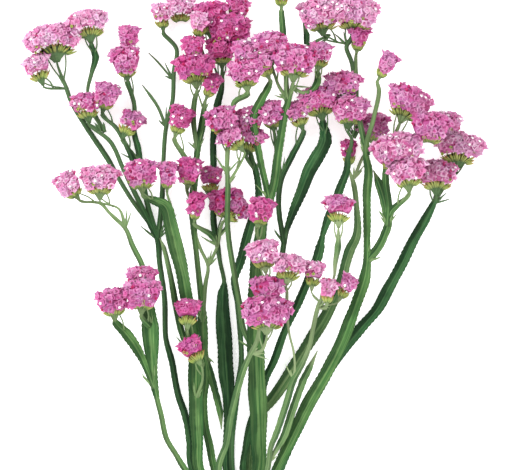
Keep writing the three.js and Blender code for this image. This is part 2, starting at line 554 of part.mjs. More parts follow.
// Joins two rings round the same axis that have different numbers of points.
function stitch(lower, upper) {
  const faces = [];
  let i = 0;
  let j = 0;
  while (i < lower.length || j < upper.length) {
    const a = lower[i % lower.length];
    const b = upper[j % upper.length];
    const lowerFirst = (i + 0.5) / lower.length <= (j + 0.5) / upper.length;
    const takeLower = j === upper.length || (i < lower.length && lowerFirst);
    if (takeLower) {
      faces.push([a, lower[(i + 1) % lower.length], b]);
      i += 1;
    } else {
      faces.push([a, upper[(j + 1) % upper.length], b]);
      j += 1;
    }
  }
  return faces;
}

// One funnel-shaped calyx with a rim of four or five angles: it flares from a cell of the core to the
// cell's outer corners, and its neighbours flare to theirs, with a slit between them.
function calyx(points, faces, cell, corners) {
  const root = new THREE.Vector3();
  cell.forEach((id) => root.addScaledVector(points[id], 1 / 4));
  const middle = new THREE.Vector3();
  corners.forEach((corner) => middle.addScaledVector(corner, 1 / 4));
  const axis = middle.clone().sub(root).normalize();
  const split = Math.floor(random(0, 6));
  const rim = [];
  corners.forEach((corner, k) => {
    const ends = k === split ? [corner, corner.clone().lerp(corners[(k + 1) % 4], 0.5)] : [corner];
    ends.forEach((end) => {
      rim.push(points.length);
      points.push(middle.clone().lerp(end, random(...RIM_INSET))
        .addScaledVector(axis, random(-RIM_RUFFLE, RIM_RUFFLE)));
    });
  });
  const dip = points.length;
  points.push(root.lerp(middle, 0.55));
  faces.push(...stitch(cell, rim));
  rim.forEach((id, k) => faces.push([id, rim[(k + 1) % rim.length], dip]));
}

// A papery core with a row of cells for each row of calyces.
function pinkComb(frame) {
  const { count, rows } = frame;
  const bottom = frame.radius + TEETH_HEIGHT + CALYX_GAP;
  const bulge = CORE_HEIGHT * 0.4 * (rows / 2) ** 2;
  const points = [];
  const faces = [];
  const lines = [];
  const corners = [];
  for (let i = 0; i <= count; i += 1) {
    const angle = frame.spread * (2 * i / count - 1);
    const away = spoke(frame, angle, 1).sub(frame.hub);
    const line = [points.length];
    points.push(spoke(frame, angle, bottom));
    corners.push([]);
    for (let j = 0; j <= rows; j += 1) {
      const round = Math.PI * (0.5 - j / rows);
      const height = CORE_HEIGHT * 0.6 + bulge * Math.cos(round);
      const point = spoke(frame, angle, bottom + height, CORE_HALF * (rows / 2) * Math.sin(round));
      const lean = THREE.MathUtils.degToRad(ROW_LEAN[rows] * (rows - 2 * j));
      line.push(points.length);
      points.push(point);
      corners[i].push(point.clone()
        .addScaledVector(away, Math.cos(lean) * CALYX_LENGTH)
        .addScaledVector(frame.front, Math.sin(lean) * CALYX_LENGTH));
    }
    lines.push(line);
  }
  for (let i = 0; i < count; i += 1) {
    const [base, ...here] = lines[i];
    const [base2, ...there] = lines[i + 1];
    for (let j = 0; j < rows; j += 1) {
      const outer = [corners[i][j], corners[i + 1][j], corners[i + 1][j + 1], corners[i][j + 1]];
      calyx(points, faces, [here[j], there[j], there[j + 1], here[j + 1]], outer);
    }
    faces.push([base, base2, there[0]], [base, there[0], here[0]]);
    faces.push([here[rows], there[rows], base2], [here[rows], base2, base]);
  }
  const [base, ...first] = lines[0];
  const [base2, ...last] = lines[count];
  for (let j = 0; j < rows; j += 1) {
    faces.push([base, first[j], first[j + 1]], [base2, last[j + 1], last[j]]);
  }
  return solidFrom(points, faces);
}

// ---- the sprays and their heads ----------------------------------------------------------------

function nearest(point, others) {
  return others.reduce((best, other) => (other.distanceTo(point) < best.distanceTo(point) ? other : best));
}

// Papery stuff between two combs of one head, hidden by their calyces.
function link(from, to) {
  const tangent = to.clone().sub(from).normalize();
  const up = Math.abs(tangent.z) > 0.8 ? new THREE.Vector3(0, 1, 0) : new THREE.Vector3(0, 0, 1);
  const points = [from, to].flatMap((center) => ring(center, tangent, up, LINK_HALF, LINK_HALF, LINK_HALF));
  const faces = ringFaces(2);
  faces.push([0, 2, 1], [0, 3, 2], [4, 5, 6], [4, 6, 7]);
  return solidFrom(points, faces);
}

const greens = []; // { name, tone, solids }
const heads = new Map(); // name -> comb geometries

function headMiddle(name) {
  const combs = SPRAYS.flatMap((spray) => [spray.tip, ...spray.branches]).filter((end) => end.head === name)
    .flatMap((end) => end.combs);
  return combs.reduce((sum, comb) => sum + comb[1], 0) / combs.length;
}

function addComb(name, frame) {
  const head = heads.get(name) ?? { combs: [], cores: [] };
  head.combs.push(pinkComb(frame));
  head.cores.push(spoke(frame, 0, frame.radius + TEETH_HEIGHT + CALYX_GAP + CORE_HEIGHT * 0.6));
  heads.set(name, head);
}

// A stem's last point moves to where its first comb fans out, and points past that are left out.
function growStem(path, centers, step, { head, combs }, solids) {
  const tip = centers[centers.length - 1];
  const frames = combs.map((comb) => combFrame(comb, tip.z + (headMiddle(head) - comb[1]) * COMB_STAGGER));
  const { hub, out } = frames[0];
  const before = (center, i) => i === 0 || hub.clone().sub(center).dot(out) > LAST_STEP;
  const kept = centers.slice(0, -1).filter(before);
  const widths = path.slice(0, -1).filter((point, i) => before(centers[i], i));
  solids.push(stem([...widths, path[path.length - 1]], [...kept, hub], step, frames[0]));
  frames.forEach((frame) => addComb(head, frame));
}

SPRAYS.forEach((spray) => {
  const solids = [];
  const points = trunkPoints(spray);
  growStem(points, route(points, spray.layer, [0, 0]), WING_STEP, spray.tip, solids);
  spray.branches.forEach((branch) => {
    const centers = route(branch.path, spray.layer, branch.lift);
    if (branch.head) {
      growStem(branch.path, centers, BRANCH_STEP, branch, solids);
    } else {
      solids.push(bareStem(branch.path, centers, BRANCH_STEP));
    }
    if (branch.path[0][2] >= NEEDLE_STEM) {
      const heading = centers[1].clone().sub(centers[0]).normalize();
      heading.applyAxisAngle(new THREE.Vector3(0, 0, 1), random(0.3, 0.7));
      solids.push(needle(centers[0], heading, NEEDLE_LENGTH));
    }
  });
  greens.push({ name: spray.name, tone: spray.tone, solids });
});

// Everything below the surface is trimmed, so that the lowest calyces rest flat on it.
const below = toManifold(new THREE.BoxGeometry(900, 1400, 100).translate(0, 200, -50));

function near(a, b) {
  const p = a.boundingBox();
  const q = b.boundingBox();
  return [0, 1, 2].every((k) => p.min[k] < q.max[k] + 1 && q.min[k] < p.max[k] + 1);
}

const bunch = new THREE.Group();

function addPiece(name, manifold, color, roughness) {
  const material = new THREE.MeshStandardMaterial({ color, roughness, metalness: 0 });
  const mesh = new THREE.Mesh(toGeometry(manifold), material);
  mesh.name = name;
  bunch.add(mesh);
}

const swollenGreens = greens.flatMap((green) => green.solids.flatMap(withGap));
greens.forEach((green) => {
  const whole = union(green.solids.map(toManifold)).subtract(below);
  addPiece(green.name, largestPiece(whole), GREENS[green.tone], 0.8);
});

function pinkOf(name) {
  if (DEEP_HEADS.includes(name)) {
    return PINKS.deep;
  }
  return LIGHT_HEADS.includes(name) ? PINKS.light : PINKS.mid;
}

const swollenHeads = [];
heads.forEach(({ combs, cores }, name) => {
  let head = union(combs.map(toManifold));
  if (head.decompose().length > 1) {
    const links = cores.slice(1).map((core, i) => link(nearest(core, cores.slice(0, i + 1)), core));
    head = union([head, ...links.map(toManifold)]);
  }
  const blockers = [...swollenGreens, ...swollenHeads].filter((other) => near(head, other));
  if (blockers.length > 0) {
    head = head.subtract(union(blockers));
  }
  head = largestPiece(head.subtract(below));
  combs.forEach((g) => swollenHeads.push(...withGap(g)));
  addPiece(name, head, pinkOf(name), 0.7);
});

// ---- the elastic band --------------------------------------------------------------------------

function band() {
  const stepsRound = 24;
  const stepsAcross = 6;
  const halfX = 1.5 * SLOT_PITCH + SLOT_WIDTH / 2 + BAND_ROOM;
  const low = SLOT_LAYERS[0] - STEM_CORE / 2 - GAP;
  const high = SLOT_LAYERS[3] + STEM_CORE / 2 + GAP;
  const halfZ = (high - low) / 2 + 0.5;
  const middle = (high + low) / 2;
  const points = [];
  const faces = [];
  const profile = [[0, -BAND_WIDTH / 2]];
  for (let k = 0; k <= stepsAcross; k += 1) {
    const t = k / stepsAcross;
    const bulge = Math.abs(Math.sin(t * Math.PI * BAND_TURNS)) * BAND_GROOVE;
    profile.push([BAND_WALL - BAND_GROOVE + bulge, BAND_WIDTH * (t - 0.5)]);
  }
  profile.push([0, BAND_WIDTH / 2]);
  for (let i = 0; i < stepsRound; i += 1) {
    const angle = (i / stepsRound) * 2 * Math.PI;
    const c = Math.cos(angle);
    const s = Math.sin(angle);
    const squareX = Math.sign(c) * Math.sqrt(Math.abs(c));
    const squareZ = Math.sign(s) * Math.sqrt(Math.abs(s));
    profile.forEach(([out, y]) => {
      points.push(new THREE.Vector3((halfX + out) * squareX, y, middle + (halfZ + out) * squareZ));
    });
  }
  const n = profile.length;
  for (let i = 0; i < stepsRound; i += 1) {
    for (let k = 0; k < n; k += 1) {
      const a = i * n + k;
      const b = i * n + ((k + 1) % n);
      const c = ((i + 1) % stepsRound) * n + ((k + 1) % n);
      const d = ((i + 1) % stepsRound) * n + k;
      faces.push([a, b, c], [a, c, d]);
    }
  }
  return solidFrom(points, faces);
}

addPiece('band', toManifold(band()).subtract(below), 0xc9a877, 0.6);

export default bunch;
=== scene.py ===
import math
from types import SimpleNamespace

import bpy
import numpy as np
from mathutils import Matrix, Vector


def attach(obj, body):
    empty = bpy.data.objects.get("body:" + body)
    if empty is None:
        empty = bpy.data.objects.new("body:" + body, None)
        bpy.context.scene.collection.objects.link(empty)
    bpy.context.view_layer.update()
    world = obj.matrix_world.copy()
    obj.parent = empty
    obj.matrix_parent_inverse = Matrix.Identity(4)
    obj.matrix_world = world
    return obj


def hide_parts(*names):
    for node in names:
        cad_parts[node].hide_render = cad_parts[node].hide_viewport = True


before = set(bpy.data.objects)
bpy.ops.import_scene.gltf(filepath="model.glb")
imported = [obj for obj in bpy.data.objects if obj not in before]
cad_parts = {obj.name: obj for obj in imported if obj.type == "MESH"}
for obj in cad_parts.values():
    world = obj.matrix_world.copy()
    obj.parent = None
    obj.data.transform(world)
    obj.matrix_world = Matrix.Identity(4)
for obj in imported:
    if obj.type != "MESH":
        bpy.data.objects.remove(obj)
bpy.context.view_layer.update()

# ---- Stems ------------------------------------------------------------------------------------------
# Statice stems are flat green straps: a firm core with a thin, waved and toothed wing along each side.
# They fork again and again, narrow to round twigs, and each twig ends in a small green fan. All are
# grown in one piece with their branches, and dried with their colour kept.

MM = 0.001
SLOT_PITCH = 6.8  # sideways between stems, where the band holds them
SLOT_LAYERS = (5, 10.2, 15.4, 20.6)  # heights of the four layers at the band
FLOWER_LAYERS = (6.8, 24, 40, 56)  # heights of the same layers among the flowers
FLOWER_REACH = 205  # how far up the bunch the layers have spread
STEM_CORE = 3.1
WING_EDGE = 0.55
LAST_STEP = 4  # points of a stem nearer than this to its comb's hub are left out
FAN_SHARE = 0.3  # the radius of a fan, as a share of its comb's width
FAN_LEAST = 2  # and this much more
WIDEST_SINE = 0.95  # the widest fan, as the sine of half its angle
COMB_FILL = 0.96  # a comb has its full width at this share of its reach
COMB_TILT = 30
ROW_RISE = 1.6
COMB_STAGGER = 0.3  # in a head of several combs, those nearer the band lie higher
TEETH_HEIGHT = 4.4
CALYX_GAP = 0.45
CORE_HEIGHT = 3.8
CALYX_LENGTH = 8.2


def stalk(points, head=None, combs=(), lift=(0, 0)):
    """A trunk or a branch, with the flower head it ends in and the combs there. Without a head it is bare."""
    return SimpleNamespace(points=points, head=head, combs=combs, lift=lift)


# The first stalk of a spray is its trunk, from the band upwards. The points of a stalk are x, y and
# width in millimetres. A comb is x, y, width, the angle it faces, and if they aren't the usual ones its
# tilt off the table and its rows of calyces. Lift raises a branch above its layer, at its root and tip.
SPRAYS = [dict(name="low_left", layer=3, slot=-1, tone="mid", stalks=[
    stalk([(-42, 58, 5.2), (-48, 68, 4.5), (-55, 80, 4.5), (-59, 98, 4.5), (-62, 110, 4.5), (-65, 127, 8.2),
        (-66, 146, 11.2), (-67, 165, 13.5), (-68, 182, 9), (-72, 208, 4.5), (-80, 225, 4.5),
        (-85, 237, 3.8), (-97, 249, 3), (-104, 256, 3), (-114, 257, 2.2)], "left_bank",
        [(-128, 271, 21, 125, 30, 3)]),
    stalk([(-64, 118, 4.5), (-70, 133, 5.2), (-76, 146, 7.5), (-84, 158, 9), (-90, 169, 6)], "low_outer",
        [(-95, 185, 26, 98, 29, 3)]),
    stalk([(-67, 164, 6), (-70, 172, 3.8)], "low_inner", [(-72, 190, 27, 86, 30, 4),
        (-73, 203, 26, 90, 25)], lift=(0, 2)),
    stalk([(-85, 237, 3.8), (-90, 252, 2.2), (-96, 261, 2.2)], "left_bank", [(-104, 276, 30, 90, 29, 3)],
        lift=(0, 1)),
]), dict(name="far_left", layer=0, slot=-1.5, tone="dark", stalks=[
    stalk([(-37, 58, 5.2), (-38, 77, 6), (-41, 94, 6), (-47, 113, 5.2), (-52, 139, 5.2), (-56, 154, 4.5),
        (-57, 184, 4.5), (-61, 214, 4.5), (-62, 229, 5.2), (-66, 238, 4.5), (-81, 258, 3.8),
        (-91, 274, 3.8), (-100, 290, 4.5), (-116, 314, 4.5), (-128, 334, 3.8), (-131, 343, 3.8),
        (-131, 362, 3), (-134, 374, 2.2)], "corner", [(-142, 384, 45, 100, 24, 3)]),
    stalk([(-131, 343, 2.2), (-141, 350, 2.2)], "corner", [(-154, 362, 24, 108, 18, 2)], lift=(0, -2)),
    stalk([(-62, 229, 5.2), (-75, 255, 4.5), (-88, 282, 3.8), (-98, 303, 3.8), (-108, 319, 3)],
        "left_middle", [(-116, 333, 26, 98)], lift=(0, 4)),
    stalk([(-102, 310, 3.8), (-110, 325, 3), (-115, 340, 3), (-112, 355, 3.8), (-109, 367, 6),
        (-107, 377, 6), (-108, 385, 4.5)], "left_spike", [(-115, 396, 33, 98, 22)], lift=(3, 3)),
    stalk([(-77, 270, 3.8), (-81, 289, 5.2), (-88, 304, 3.8), (-94, 314, 3.8), (-95, 325, 3)],
        "left_middle", [(-100, 339, 21, 75, 29, 3)], lift=(2, 4)),
    stalk([(-62, 229, 4.5), (-70, 256, 4.5), (-75, 284, 4.5), (-77, 298, 5.2), (-80, 310, 4.5),
        (-80, 331, 3.8), (-80, 344, 4.5)], "stack", [(-86, 364, 22, 95, 27, 4), (-84, 382, 17, 90, 24, 3)]),
    stalk([(-76, 287, 2.2), (-81, 295, 2.2), (-86, 300, 2.2)], "small_oblique", [(-81, 320, 21, 62, 16)],
        lift=(0, 4)),
    stalk([(-62, 229, 4.5), (-59, 259, 4.5), (-58, 286, 3.8), (-56, 313, 3.8), (-51, 334, 3.8),
        (-50, 356, 3.8), (-48, 373, 3.8), (-52, 389, 3.8)], "top_left", [(-59, 401, 18, 94, 25),
        (-45, 406, 24, 92, 25)]),
    stalk([(-56, 314, 3), (-62, 329, 3), (-68, 338, 3), (-74, 346, 2.2)], lift=(0, -3)),
    stalk([(-51, 350, 2.2), (-62, 363, 2.2), (-69, 370, 2.2)], lift=(0, 2)),
]), dict(name="centre_left", layer=2, slot=-1, tone="mid", stalks=[
    stalk([(-31, 57, 8.2), (-32, 77, 9.8), (-33, 102, 11.2), (-33, 124, 12), (-34, 150, 11.2),
        (-39, 180, 9.8), (-42, 199, 10.5), (-47, 220, 11.2), (-52, 241, 11.2), (-56, 254, 9.8),
        (-60, 260, 5.2), (-69, 262, 3)], "centre_left", [(-74, 280, 27, 94, 29, 3)]),
    stalk([(-55, 236, 3.8), (-51, 250, 3), (-52, 261, 2.2)], "upright_left", [(-54, 279, 15, 88, 26, 3)],
        lift=(0, -2)),
    stalk([(-34, 146, 3.8), (-38, 161, 2.2), (-38, 167, 2.2)], "single_upper", [(-39, 179, 22, 90, 9)],
        lift=(0, 13)),
    stalk([(-33, 109, 3.8), (-28, 124, 2.2), (-29, 136, 2.2)], "single_lower", [(-37, 150, 21, 118, 13)],
        lift=(0, 13)),
    stalk([(-38, 145, 4.5), (-44, 161, 5.2), (-48, 180, 5.2), (-52, 202, 4.5), (-57, 223, 3.8),
        (-60, 230, 3)], lift=(-2, -6)),
]), dict(name="centre", layer=1, slot=-1, tone="mid", stalks=[
    stalk([(-20, 58, 6), (-23, 74, 6), (-26, 88, 6), (-27, 109, 5.2), (-25, 128, 6), (-27, 145, 6),
        (-28, 158, 8.2), (-28, 170, 8.2), (-29, 184, 5.2), (-31, 202, 4.5), (-33, 221, 4.5),
        (-35, 240, 5.2), (-36, 256, 6), (-34, 274, 5.2), (-32, 296, 5.2), (-28, 318, 6), (-23, 334, 5.2),
        (-21, 340, 3)], "nodding", [(-20, 347, 15, 66, 27)]),
    stalk([(-36, 254, 3), (-38, 265, 2.2)], "centre_small", [(-38, 282, 20, 85, 29, 3)]),
    stalk([(-34, 271, 3.8), (-38, 285, 4.5), (-40, 299, 5.2), (-40, 310, 3.8)], "tilted",
        [(-44, 321, 20, 72, 20, 3)]),
    stalk([(-32, 296, 3.8), (-35, 319, 4.5), (-34, 334, 4.5), (-34, 344, 3)], "upper_centre",
        [(-34, 360, 32, 95, 29, 3), (-35, 374, 18, 95, 26, 3)]),
    stalk([(-27, 325, 2.2), (-24, 356, 2.2), (-29, 379, 2.2)], "pale", [(-31, 393, 16, 92)], lift=(0, 2)),
    stalk([(-28, 167, 3.8), (-26, 195, 3.8), (-24, 209, 3), (-30, 223, 3), (-34, 238, 2.2)]),
    stalk([(-24, 209, 3), (-17, 224, 3), (-10, 239, 3)], "right_of_centre", [(1, 253, 20, 38, 17)]),
    stalk([(-17, 224, 3), (-21, 232, 5.2), (-26, 241, 5.2), (-28, 246, 3)], "upright_centre",
        [(-32, 256, 14, 80, 24, 3)], lift=(0, 2)),
    stalk([(-26, 142, 3.8), (-22, 127, 6), (-18, 112, 6), (-15, 99, 5.2), (-14, 86, 3.8)]),
]), dict(name="dark", layer=0, slot=-0.5, tone="dark", stalks=[
    stalk([(-10, 58, 6.8), (-10, 75, 6.8), (-9, 94, 6.8), (-9, 109, 9), (-10, 124, 12), (-11, 139, 12.8),
        (-12, 156, 12), (-13, 175, 11.2), (-13, 188, 9), (-12, 197, 3.8), (-15, 212, 3.8), (-17, 225, 4.5),
        (-20, 242, 5.2), (-20, 259, 5.2), (-20, 281, 5.2), (-20, 308, 5.2), (-17, 331, 6), (-14, 343, 4.5),
        (-14, 355, 3)], "deep_top", [(-14, 374, 24, 92, 29, 3), (-8, 388, 32, 88, 30, 4),
        (-1, 405, 20, 82, 28, 2)]),
    stalk([(-14, 344, 2.2), (-22, 370, 2.2), (-26, 385, 2.2)], "deep_top", [(-24, 398, 28, 98, 24, 4)],
        lift=(0, -1)),
    stalk([(-20, 255, 3), (-21, 265, 2.2)], "comb", [(-22, 278, 21, 88, 9)], lift=(0, 4)),
    stalk([(-19, 229, 3), (-14, 242, 2.2)], "round_centre", [(-11, 259, 27, 98, 30, 3)]),
]), dict(name="wide_left", layer=1, slot=0, tone="dark", stalks=[
    stalk([(-6, 58, 4.5), (-6, 79, 4.5), (-4, 100, 5.2), (-2, 116, 5.2), (1, 137, 4.5), (0, 161, 4.5),
        (-2, 182, 4.5), (-4, 199, 6), (0, 212, 7.5), (4, 226, 7.5), (9, 244, 6.8), (14, 260, 6),
        (12, 280, 5.2), (8, 292, 3.8), (7, 305, 2.2)], "mid_right", [(6, 320, 25, 97, 27, 3)]),
    stalk([(12, 280, 3), (10, 293, 2.2)], "mid_right", [(10, 307, 21, 70, 26)]),
]), dict(name="ribbed", layer=2, slot=0, tone="mid", stalks=[
    stalk([(14, 58, 10.5), (14, 75, 12.8), (14, 90, 13.5), (13, 116, 14.2), (12, 139, 13.5), (11, 161, 12),
        (11, 184, 11.2), (12, 206, 10.5), (14, 223, 9.8), (17, 242, 8.2), (22, 259, 7.5), (26, 274, 6.8),
        (29, 296, 6.8), (34, 325, 6), (38, 344, 4.5), (43, 350, 3)], "top_right",
        [(41, 365, 34, 86, 29, 4)]),
    stalk([(13, 212, 3), (14, 224, 2.2), (15, 230, 2.2)], "ball", [(16, 252, 21, 80, 31, 3)], lift=(0, 10)),
    stalk([(36, 334, 3.8), (29, 344, 3), (25, 350, 2.2)], "top_right", [(22, 376, 27, 98, 29, 3)],
        lift=(0, -2)),
    stalk([(38, 344, 3), (47, 339, 3), (53, 340, 4.5), (58, 347, 6), (62, 356, 4.5)], "top_right",
        [(61, 370, 20, 80, 26)], lift=(0, -2)),
    stalk([(35, 331, 3.8), (34, 364, 4.5), (32, 386, 5.2), (31, 398, 4.5)], "crown", [(31, 415, 17, 90)],
        lift=(0, 3)),
    stalk([(22, 259, 5.2), (16, 285, 5.2), (12, 305, 6), (10, 320, 6), (15, 332, 6.8), (20, 341, 6),
        (22, 347, 3.8)], "top_right", [(16, 362, 18, 115, 27, 3)]),
    stalk([(12, 145, 4.5), (3, 161, 4.5), (0, 180, 4.5), (-4, 202, 4.5), (-9, 236, 4.5), (-9, 270, 4.5),
        (-10, 292, 3), (-16, 304, 2.2)], "mid_left", [(-14, 320, 26, 104, 29, 3)]),
    stalk([(-9, 270, 3), (-4, 287, 2.2)], "mid_left", [(-8, 307, 21, 132, 23)]),
    stalk([(-10, 278, 3.8), (-8, 304, 3), (-6, 321, 3), (-4, 332, 4.5), (-1, 340, 4.5)], "inner_right",
        [(4, 356, 28, 96, 29, 3), (3, 370, 18, 84, 25, 3)]),
]), dict(name="front", layer=3, slot=0, tone="pale", stalks=[
    stalk([(-16, 57, 5.2), (-10, 77, 5.2), (-7, 96, 5.2), (-2, 116, 5.2), (2, 130, 5.2), (7, 142, 4.5),
        (13, 154, 3.8), (15, 169, 3), (17, 184, 3), (21, 197, 2.2), (18, 205, 2.2)], "front_top",
        [(17, 221, 26, 98, 27, 3)]),
    stalk([(8, 144, 3.8), (16, 146, 3), (24, 154, 2.2)], "front_low", [(20, 177, 36, 90, 29, 4),
        (20, 194, 26, 94, 26, 3)], lift=(0, 2)),
]), dict(name="slender", layer=1, slot=1, tone="dark", stalks=[
    stalk([(2, 57, 5.2), (4, 71, 5.2), (8, 90, 6), (16, 112, 6), (20, 126, 6), (26, 139, 6), (34, 161, 6),
        (44, 182, 6.8), (50, 196, 6.8), (54, 206, 6.8), (58, 215, 7.5), (60, 223, 8.2), (62, 232, 4.5),
        (66, 244, 6.8), (70, 254, 6.8), (75, 267, 6.8), (80, 280, 6), (81, 290, 4.5), (84, 304, 3),
        (84, 311, 2.2)], "upper_right", [(82, 329, 30, 88, 29, 3), (77, 347, 28, 92, 29, 3)]),
    stalk([(14, 109, 4.5), (15, 131, 4.5), (17, 154, 4.5), (21, 172, 4.5), (27, 193, 4.5), (31, 212, 4.5),
        (33, 226, 4.5), (35, 236, 4.5), (40, 250, 7.5), (46, 265, 9), (52, 280, 10.5), (58, 291, 11.2),
        (64, 304, 10.5), (66, 316, 6)], "upper_right", [(59, 336, 32, 100, 29, 3)], lift=(0, -1)),
    stalk([(86, 305, 3), (89, 325, 3), (86, 345, 3), (84, 362, 3.8), (80, 374, 3.8), (80, 386, 4.5)],
        "top_far", [(86, 401, 36, 85, 29, 4)]),
    stalk([(80, 376, 2.2), (74, 385, 1.5), (64, 383, 1.5)], "top_far", [(60, 400, 33, 98, 27, 4)],
        lift=(1, -1)),
    stalk([(68, 383, 2.2), (57, 378, 3), (51, 374, 4.5), (50, 383, 5.2), (47, 395, 4.5)], lift=(1, -3)),
    stalk([(33, 226, 4.5), (29, 255, 4.5), (31, 274, 4.5), (38, 290, 5.2), (45, 302, 4.5)], "upper_right",
        [(42, 326, 21, 110, 26)]),
    stalk([(31, 275, 3.8), (28, 292, 3.8), (25, 304, 3)], "inner_low", [(23, 325, 20, 100, 27, 3)]),
]), dict(name="pale_right", layer=0, slot=0.5, tone="pale", stalks=[
    stalk([(7, 57, 6), (9, 79, 7.5), (15, 98, 9), (24, 108, 9), (35, 124, 9.8), (45, 140, 9.8),
        (55, 156, 9.8), (64, 170, 9), (70, 182, 9), (76, 196, 8.2), (80, 212, 8.2), (83, 221, 8.2),
        (88, 232, 6.8), (88, 254, 4.5), (86, 270, 4.5), (85, 280, 3.8), (84, 286, 2.2)], "bud",
        [(82, 298, 15, 92, 17)]),
    stalk([(86, 275, 3), (94, 293, 3), (98, 304, 2.2)], "right_wing", [(99, 316, 27, 98, 29, 3)]),
]), dict(name="main_right", layer=2, slot=1, tone="mid", stalks=[
    stalk([(28, 58, 7.5), (36, 74, 9), (46, 95, 10.5), (57, 116, 10.5), (69, 137, 10.5), (78, 157, 9.8),
        (88, 184, 9.8), (93, 199, 9), (95, 212, 6.8), (95, 229, 5.2), (95, 246, 6.8), (95, 263, 6.8),
        (96, 280, 6.8), (94, 296, 4.5), (100, 320, 3.8), (104, 340, 3.8), (106, 346, 3)], "tip_right",
        [(110, 361, 15, 62, 24, 3)]),
    stalk([(95, 292, 5.2), (88, 328, 3.8), (87, 345, 4.5), (88, 362, 4.5), (87, 371, 3)], "spike_right",
        [(90, 383, 16, 80, 24, 3)], lift=(0, -22)),
    stalk([(94, 212, 6.8), (104, 224, 6.8), (110, 238, 6.8), (113, 250, 6), (118, 260, 5.2), (124, 269, 3)],
        "right_bank", [(124, 282, 30, 98, 27, 3), (117, 298, 38, 98, 29, 4)], lift=(0, -2)),
    stalk([(110, 242, 4.5), (108, 257, 6.8), (104, 271, 6.8), (100, 281, 4.5)], lift=(-2, -6)),
    stalk([(110, 239, 4.5), (111, 255, 6), (109, 274, 6), (111, 292, 4.5), (126, 313, 3)], "right_crest",
        [(127, 334, 34, 68, 24, 4), (142, 314, 28, 84, 27, 4)], lift=(0, -8)),
]), dict(name="outer_right", layer=0, slot=1.5, tone="dark", stalks=[
    stalk([(31, 57, 6.8), (38, 74, 7.5), (47, 94, 7.5), (58, 114, 7.5), (70, 134, 7.5), (82, 151, 8.2),
        (92, 163, 9), (104, 177, 9), (112, 192, 9), (123, 212, 9), (131, 229, 8.2), (140, 244, 7.5),
        (146, 256, 5.2), (148, 265, 3)], "right_low", [(148, 281, 33, 90, 26, 3)]),
    stalk([(146, 256, 3.8), (155, 269, 2.2), (164, 281, 2.2)], "right_outer", [(166, 302, 38, 84, 22, 3),
        (154, 317, 28, 92, 29, 3)], lift=(0, -4)),
]), dict(name="thin_right", layer=3, slot=1, tone="pale", stalks=[
    stalk([(21, 58, 4.5), (23, 73, 4.5), (28, 86, 5.2), (34, 104, 5.2), (40, 124, 5.2), (47, 137, 4.5),
        (52, 150, 3.8), (55, 165, 3.8), (59, 181, 3.8), (65, 191, 3), (70, 201, 2.2), (71, 212, 3.8),
        (73, 224, 5.2), (74, 235, 4.5), (76, 245, 2.2)], "comb_right", [(74, 256, 25, 88, 8)]),
    stalk([(60, 182, 2.2), (57, 191, 1.5)], "thin_first", [(55, 207, 18, 84, 18)]),
    stalk([(58, 178, 2.2), (63, 179, 1.5), (65, 182, 1.5)], "thin_second", [(66, 194, 15, 84, 20)],
        lift=(0, 4)),
    stalk([(59, 179, 2.2), (70, 182, 2.2), (77, 187, 1.5)], "thin_third", [(81, 197, 15, 62, 13)]),
    stalk([(40, 124, 3), (41, 134, 2.2), (40, 146, 2.2), (37, 158, 2.2), (35, 175, 3), (35, 190, 3),
        (36, 197, 2.2)], "front_top", [(37, 212, 27, 82, 27)]),
    stalk([(22, 62, 2.2), (27, 71, 4.2), (33, 82, 6), (40, 103, 6), (47, 123, 6), (52, 133, 5.2),
        (58, 146, 3.8)], lift=(-1, -7)),
])]

rng = np.random.default_rng(4127)


def unit(vectors):
    return vectors / np.linalg.norm(vectors, axis=-1, keepdims=True)


def layer_height(layer, y):
    rise = np.clip(np.asarray(y) / FLOWER_REACH, 0, 1)
    return SLOT_LAYERS[layer] + (FLOWER_LAYERS[layer] - SLOT_LAYERS[layer]) * rise


def comb_frame(height, x, y, width, facing, tilt=COMB_TILT, rows=2):
    """Where a comb fans out, the way it faces, and how far it spreads."""
    angle, rise = math.radians(facing), math.radians(tilt)
    out = np.array([math.cos(angle) * math.cos(rise), math.sin(angle) * math.cos(rise), math.sin(rise)])
    along = np.array([math.sin(angle), -math.cos(angle), 0.0])
    front = np.cross(along, out)
    radius = FAN_SHARE * width + FAN_LEAST
    reach = radius + TEETH_HEIGHT + CALYX_GAP + CORE_HEIGHT + CALYX_LENGTH
    spread = math.asin(min(WIDEST_SINE, width / 2 / (reach * COMB_FILL)))
    hub = np.array([x, y, 0.0]) - out * (radius + reach + TEETH_HEIGHT) / 2
    hub[2] = height + (rows - 2) * ROW_RISE
    return SimpleNamespace(hub=hub, out=out, along=along, front=front, radius=radius, spread=spread,
                           width=width, rows=rows)


def spoke(comb, angle, distance, offset=0.0):
    """Points on a comb: angle across it, distance out from its hub, offset to its front."""
    parts = np.broadcast_arrays(angle, distance, offset)
    angle, distance, offset = (np.asarray(part, float)[..., None] for part in parts)
    return (comb.hub + comb.out * np.cos(angle) * distance + comb.along * np.sin(angle) * distance
            + comb.front * offset)


def smooth_line(points, step):
    """A flowing line through points of x, y, z and width, with a row about every step."""
    points = np.asarray(points, float)
    padded = np.vstack([2 * points[0] - points[1], points, 2 * points[-1] - points[-2]])
    rows = []
    for k in range(len(points) - 1):
        a, b, c, d = padded[k:k + 4, :3]
        before, here, after = (max(np.linalg.norm(v), 0.001) ** 0.5 for v in (b - a, c - b, d - c))
        leave = ((b - a) / before - (c - a) / (before + here) + (c - b) / here) * here
        arrive = ((c - b) / here - (d - b) / (here + after) + (d - c) / after) * here
        count = max(1, round(float(np.linalg.norm(c - b)) / step))
        t = (np.arange(count + (k == len(points) - 2)) / count)[:, None]
        place = (b + leave * t + (3 * c - 3 * b - 2 * leave - arrive) * t ** 2
                 + (2 * b - 2 * c + leave + arrive) * t ** 3)
        width = points[k, 3] + (points[k + 1, 3] - points[k, 3]) * t
        rows.append(np.hstack([place, width]))
    return np.vstack(rows)


